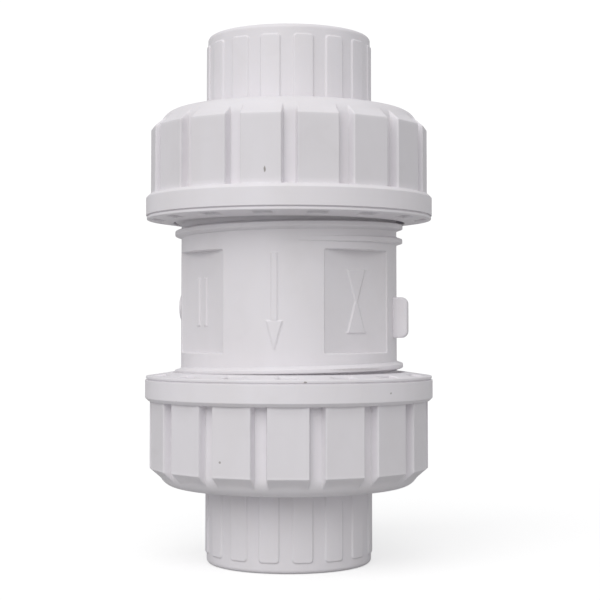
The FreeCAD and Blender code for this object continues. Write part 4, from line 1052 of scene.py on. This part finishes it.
def handling_dust_group():
    """Handling dust: Specks are small discs in a few cells, Film is a broad uneven haze."""
    w = new_group("Handling Dust", {"Speck Scale": 190.0, "Speck Share": 0.10, "Speck Size": 0.045},
                  ("Specks", "Film"))
    cells = w.node("TexVoronoi", feature="F1")
    w.join(w.place(), cells.inputs["Vector"])
    w.join(w.given("Speck Scale"), cells.inputs["Scale"])
    parts = w.node("SeparateColor")
    w.join(cells.outputs["Color"], parts.inputs[0])
    chosen = w.math("LESS_THAN", parts.outputs[0], w.given("Speck Share"))
    reach = w.math("MULTIPLY", w.given("Speck Size"), w.math("ADD", 0.25, parts.outputs[1]))
    ragged = w.math("ADD", cells.outputs["Distance"], w.math("MULTIPLY", w.noise(4200.0, 1.0), 0.02))
    disc = w.math("SUBTRACT", 1.0, w.ramp(ragged, w.math("MULTIPLY", reach, 0.6),
                                          w.math("MULTIPLY", reach, 1.3)))
    w.give("Specks", w.math("MULTIPLY", disc, chosen))
    w.give("Film", w.ramp(w.noise(95.0, 5.0, distortion=0.8), 0.50, 0.78))


def edge_highlight_and_corner_shade_group():
    """Edge highlight and corner shade: Edge is 1 on sharp outer edges, which get a painted highlight and
    a lower roughness, and Recess is 1 in sharp inner corners, which get painted shade; both broken up.
    """
    w = new_group("Edge Highlight And Corner Shade", {"Sharpness": 0.06}, ("Edge", "Recess"))
    point = w.node("NewGeometry").outputs["Pointiness"]
    broken = w.math("MULTIPLY_ADD", w.noise(420.0, 4.0), 0.8, 0.35)
    sharp = w.math("ADD", 0.52, w.given("Sharpness"))
    # Edge: mask of the painted highlight on sharp outer edges, which also lowers the roughness there.
    w.give("Edge", w.math("MULTIPLY", w.ramp(point, 0.52, sharp), broken))
    # Recess: mask of the painted shade in sharp inner corners.
    w.give("Recess", w.math("MULTIPLY", w.math("SUBTRACT", 1.0, w.ramp(
        point, w.math("SUBTRACT", 0.485, w.given("Sharpness")), 0.485)), broken))


def ellipsoid_mark_group():
    """Ellipsoid mark: 1 inside a ragged ellipsoid, by the length of (place - centre) / half size; its
    mask places the nuts' specks and the body's painted shadow line.
    """
    w = new_group("Ellipsoid Mark", {"Centre": (0.0, 0.0, 0.0), "Half Size": (0.001, 0.001, 0.001),
                                    "Rough": 0.6}, ("Mask",))
    offset = w.vector("DIVIDE", w.vector("SUBTRACT", w.place(), w.given("Centre")), w.given("Half Size"))
    ragged = w.math("MULTIPLY", w.math("SUBTRACT", w.noise(1900.0, 2.0), 0.5), w.given("Rough"))
    far = w.math("ADD", w.vector("LENGTH", offset), ragged)
    w.give("Mask", w.math("SUBTRACT", 1.0, w.ramp(far, 0.55, 1.1)))


def turned_lines_group():
    """Turned lines: noise on (radius, height) only, so it runs in rings round the axis."""
    w = new_group("Turned Lines", {"Line Scale": 5200.0}, ("Height", "Tone"))
    flat = w.vector("MULTIPLY", w.place(), (1.0, 1.0, 0.0))
    rings = w.node("CombineXYZ")
    w.join(w.vector("LENGTH", flat), rings.inputs["X"])
    split = w.node("SeparateXYZ")
    w.join(w.place(), split.inputs[0])
    w.join(split.outputs["Z"], rings.inputs["Z"])
    w.give("Height", w.noise(w.given("Line Scale"), 2.0, rings.outputs[0]))
    w.give("Tone", w.ramp(w.noise(700.0, 3.0, rings.outputs[0]), 0.3, 0.7))


def new_material(name, colour_of, roughness, **sockets):
    """Principled material in place of the frame's plain one of that name; with its wires and shader."""
    made = bpy.data.materials.get(name) or bpy.data.materials.new(name)
    made.use_nodes = True
    made.node_tree.nodes.clear()
    wires = Wires(made.node_tree)
    shader, output = wires.node("BsdfPrincipled"), wires.node("OutputMaterial")
    wires.join(shader.outputs[0], output.inputs["Surface"])
    shader.inputs["Base Color"].default_value = (*colour_of, 1.0)
    shader.inputs["Roughness"].default_value = roughness
    made.diffuse_color = (*colour_of, 1.0)
    for label, value in sockets.items():
        shader.inputs[label.replace("_", " ")].default_value = value
    return made, wires, shader


def bumped(wires, shader, height, distance, strength=1.0):
    bump = wires.node("Bump")
    bump.inputs["Strength"].default_value = strength
    bump.inputs["Distance"].default_value = distance
    wires.join(height, bump.inputs["Height"])
    wires.join(bump.outputs[0], shader.inputs["Normal"])


def moulded_material(name, base, grime_and_shade, roughness, peel, dirt, marks=()):
    """Satin moulded plastic: warm and cool flow tone, a painted highlight and less roughness on sharp
    edges, painted shade in sharp inner corners, dust, specks and marks, one of them a painted shadow
    line.
    """
    made, w, shader = new_material(name, base, roughness, Specular_IOR_Level=0.42,
                                   Subsurface_Weight=0.06, Subsurface_Scale=0.0015,
                                   Subsurface_Radius=(1.0, 0.9, 0.8))
    skin = w.use("Moulded Skin", Peel_Scale=peel)
    dust = w.use("Handling Dust", Speck_Share=dirt)
    highlight_and_shade_masks = w.use("Edge Highlight And Corner Shade")
    shaded = tuple(c * f for c, f in zip(base, (0.965, 0.962, 0.955)))
    tone = w.mix(skin["Tone"], base, shaded)
    # Painted highlight: sharp outer edges are lightened by up to 3 percent towards this tone.
    highlight_tone = tuple(min(1.0, c * 1.06) for c in base)
    tone = w.mix(w.math("MULTIPLY", highlight_and_shade_masks["Edge"], 0.5), tone, highlight_tone)
    # Painted shade: sharp inner corners darken towards the grime colour, up to 22 percent of the way;
    # dust film, specks and marks darken the same way.
    dirt_and_shade = w.math("MULTIPLY", highlight_and_shade_masks["Recess"], 0.22)
    dirt_and_shade = w.math("MAXIMUM", dirt_and_shade, w.math("MULTIPLY", dust["Film"], 0.035))
    dirt_and_shade = w.math("MAXIMUM", dirt_and_shade, w.math("MULTIPLY", dust["Specks"], 0.55))
    for centre, half_size, depth in marks:
        mark = w.use("Ellipsoid Mark", Centre=tuple(c * MM for c in centre),
                     Half_Size=tuple(c * MM for c in half_size))
        dirt_and_shade = w.math("MAXIMUM", dirt_and_shade, w.math("MULTIPLY", mark["Mask"], depth))
    w.join(w.mix(dirt_and_shade, tone, grime_and_shade), shader.inputs["Base Color"])
    rough = w.math("MULTIPLY_ADD", skin["Tone"], 0.07, roughness - 0.035)
    rough = w.math("SUBTRACT", rough, w.math("MULTIPLY", highlight_and_shade_masks["Edge"], 0.08))
    w.join(w.math("ADD", rough, w.math("MULTIPLY", dirt_and_shade, 0.4)), shader.inputs["Roughness"])
    bumped(w, shader, skin["Height"], 0.00004, 0.55)
    return made


def metal_material(name, base, roughness, line_scale, distance):
    """Turned or drawn steel: fine rings round the axis in tone, gloss and relief."""
    made, w, shader = new_material(name, base, roughness, Metallic=1.0)
    turned = w.use("Turned Lines", Line_Scale=line_scale)
    dust = w.use("Handling Dust", Speck_Scale=420.0, Speck_Share=0.05)
    dull = tuple(c * 0.86 for c in base)
    tone = w.mix(turned["Tone"], base, dull)
    w.join(w.mix(w.math("MULTIPLY", dust["Film"], 0.12), tone, tuple(c * 0.6 for c in base)),
           shader.inputs["Base Color"])
    w.join(w.math("MULTIPLY_ADD", turned["Tone"], 0.12, roughness - 0.06), shader.inputs["Roughness"])
    bumped(w, shader, turned["Height"], distance, 0.6)
    return made


def rubber_material(name, base, dusted):
    """Black moulded rubber: matt, with a little bloom and dust."""
    made, w, shader = new_material(name, base, 0.58, Specular_IOR_Level=0.35)
    skin = w.use("Moulded Skin", Grain_Scale=5200.0, Peel_Scale=900.0, Grain=0.9)
    dust = w.use("Handling Dust", Speck_Scale=600.0, Speck_Share=0.22, Speck_Size=0.06)
    bloom = w.math("MAXIMUM", w.math("MULTIPLY", dust["Film"], 0.10),
                   w.math("MULTIPLY", dust["Specks"], 0.35))
    w.join(w.mix(bloom, base, dusted), shader.inputs["Base Color"])
    w.join(w.math("MULTIPLY_ADD", skin["Tone"], 0.14, 0.50), shader.inputs["Roughness"])
    bumped(w, shader, skin["Height"], 0.00003, 0.6)
    return made


def finish(name):
    """A finish by its slot name; the finishes are made first."""
    if name not in bpy.data.materials:
        raise RuntimeError(f"the finish {name} isn't made yet")
    return bpy.data.materials[name]


class CHECK_VALVE_OT_finishes(bpy.types.Operator):
    """Node groups for moulded skin, dust, painted edge highlight and corner shade, marks and turned
    lines, and the eight finishes
    """
    bl_idname = "check_valve.finishes"
    bl_label = "Finishes"

    def execute(self, context):
        shades = context.scene.check_valve_colours
        for made in (moulded_skin_group, handling_dust_group, edge_highlight_and_corner_shade_group, ellipsoid_mark_group,
                     turned_lines_group):
            made()
        grime_and_shade = tuple(shades.grime_and_shade)
        # The body's one mark is a painted shadow: a thin dark line across the right front of the barrel
        # under the lower thread ridge, just above the lower nut's open face.
        moulded_material("body_plastic", tuple(shades.body), grime_and_shade, 0.40, 210.0, 0.05,
                         marks=[((15.5, -21.8, -17.2), (9.0, 7.0, 0.35), 0.28)])
        moulded_material("nut_plastic", tuple(shades.nut), grime_and_shade, 0.43, 300.0, 0.06, marks=[
            ((-5.3, -34.0, 28.6), (0.28, 1.2, 0.85), 0.75),
            ((4.0, -35.3, -19.8), (0.45, 0.6, 0.30), 0.7),
            ((23.7, -26.0, -22.6), (0.35, 1.0, 0.30), 0.6),
            ((-15.5, -30.6, -38.1), (0.30, 1.0, 0.35), 0.6)])
        moulded_material("socket_plastic", tuple(shades.nut), grime_and_shade, 0.42, 280.0, 0.05)
        moulded_material("inner_plastic", tuple(shades.inner), grime_and_shade, 0.38, 260.0, 0.02)
        moulded_material("bush_plastic", tuple(shades.bush), grime_and_shade, 0.30, 500.0, 0.01)
        rubber_material("seal_rubber", tuple(shades.rubber), (0.16, 0.155, 0.15))
        metal_material("stainless", tuple(shades.steel), 0.26, 5200.0, 0.00002)
        metal_material("spring_steel", tuple(shades.steel), 0.20, 2600.0, 0.00001)
        return {"FINISHED"}


# ---------------------------------------------------------------- studio
def studio_lamp(name, toward, spread, strength, tint):
    """Soft lamp so far off that it lights everything alike; `toward` points from the valve to it."""
    data = bpy.data.lights.new(name, "SUN")
    data.energy, data.angle, data.color = strength, spread, tint
    lamp = bpy.data.objects.new(name, data)
    bpy.context.scene.collection.objects.link(lamp)
    lamp.rotation_euler = (math.acos(toward[2] / math.dist((0, 0, 0), toward)), 0,
                           math.atan2(toward[1], toward[0]) + math.pi / 2)
    return lamp


class CHECK_VALVE_OT_stage(bpy.types.Operator):
    """Plain pale floor, white surroundings, soft lamp and the camera"""
    bl_idname = "check_valve.stage"
    bl_label = "Studio"

    def execute(self, context):
        scene, studio = context.scene, context.scene.check_valve_studio
        mesh = bpy.data.meshes.new("Floor")
        half, low = 6.0, float(CAD_BOX[0][2])
        corners = [(-half, -half, low), (half, -half, low), (half, half, low), (-half, half, low)]
        mesh.from_pydata(corners, [], [(0, 1, 2, 3)])
        floor = bpy.data.objects.new("Floor", mesh)
        scene.collection.objects.link(floor)
        made, w, shader = new_material("Pale_floor", (0.5, 0.5, 0.5), 0.9, Specular_IOR_Level=0.1)
        w.join(w.mix(w.noise(40.0, 2.0), (0.50, 0.50, 0.50), (0.51, 0.51, 0.51)),
               shader.inputs["Base Color"])
        shader.inputs["Emission Color"].default_value = (1, 1, 1, 1)
        w.join(w.math("MULTIPLY", w.node("LightPath").outputs["Is Camera Ray"], studio.floor_glow),
               shader.inputs["Emission Strength"])
        mesh.materials.append(made)
        world = bpy.data.worlds.new("Studio")
        world.use_nodes = True
        scene.world = world
        tree = world.node_tree
        tree.nodes.clear()
        wires = Wires(tree)
        seen, lit = wires.node("Background"), wires.node("Background")
        seen.inputs["Color"].default_value = (1, 1, 1, 1)
        seen.inputs["Strength"].default_value = 1.05
        lit.inputs["Color"].default_value = (0.985, 0.99, 1.0, 1)
        lit.inputs["Strength"].default_value = studio.sky
        mixed, output = wires.node("MixShader"), wires.node("OutputWorld")
        wires.join(wires.node("LightPath").outputs["Is Camera Ray"], mixed.inputs[0])
        wires.join(lit.outputs[0], mixed.inputs[1])
        wires.join(seen.outputs[0], mixed.inputs[2])
        wires.join(mixed.outputs[0], output.inputs["Surface"])
        studio_lamp("Key", (-0.25, -0.70, 0.66), studio.key_spread, studio.key, (1.0, 0.995, 0.985))
        camera_data = bpy.data.cameras.new("Camera")
        camera_data.lens, camera_data.sensor_width = studio.lens, 36.0
        camera_data.shift_y = studio.shift
        camera_data.clip_start = 0.01
        camera = bpy.data.objects.new("Camera", camera_data)
        scene.collection.objects.link(camera)
        camera.matrix_world = (Matrix.Translation((studio.aside, -studio.distance, studio.eye))
                               @ Matrix.Rotation(math.pi / 2 + studio.tilt, 4, "X")
                               @ Matrix.Rotation(studio.roll, 4, "Z"))
        scene.camera = camera
        scene.view_settings.view_transform = "Standard"
        scene.view_settings.look = "None"
        return {"FINISHED"}


class CHECK_VALVE_PT_panel(bpy.types.Panel):
    """Sizes and colours of the check valve, with a button for each group of pieces"""
    bl_idname = "CHECK_VALVE_PT_panel"
    bl_label = "Check Valve"
    bl_space_type = "VIEW_3D"
    bl_region_type = "UI"
    bl_category = "Check Valve"

    def draw(self, context):
        for made in OPERATORS:
            self.layout.operator(made.bl_idname)
        for attribute, group in SETTINGS.items():
            settings = getattr(context.scene, attribute)
            box = self.layout.box()
            box.label(text=group.__doc__)
            for name in group.__annotations__:
                box.prop(settings, name)


SETTINGS = {
    "check_valve_body": BodySizes,
    "check_valve_thread": ThreadSizes,
    "check_valve_nut": NutSizes,
    "check_valve_connector": ConnectorSizes,
    "check_valve_spring": SpringSizes,
    "check_valve_inner": InnerSizes,
    "check_valve_colours": FinishColours,
    "check_valve_studio": StudioSettings,
}
OPERATORS = (
    CHECK_VALVE_OT_finishes,
    CHECK_VALVE_OT_stage,
    CHECK_VALVE_OT_body,
    CHECK_VALVE_OT_nuts,
    CHECK_VALVE_OT_connectors,
    CHECK_VALVE_OT_seals,
    CHECK_VALVE_OT_seat,
    CHECK_VALVE_OT_poppet,
    CHECK_VALVE_OT_guide,
    CHECK_VALVE_OT_spring,
)
CLASSES = (*SETTINGS.values(), *OPERATORS, CHECK_VALVE_PT_panel)


def register():
    for made in CLASSES:
        bpy.utils.register_class(made)
    for attribute, group in SETTINGS.items():
        setattr(bpy.types.Scene, attribute, PointerProperty(type=group))


def unregister():
    for attribute in SETTINGS:
        delattr(bpy.types.Scene, attribute)
    for made in reversed(CLASSES):
        bpy.utils.unregister_class(made)


def main():
    register()
    for made in OPERATORS:
        group, operator = made.bl_idname.split(".")
        getattr(getattr(bpy.ops, group), operator)()


if __name__ == "__main__":
    main()
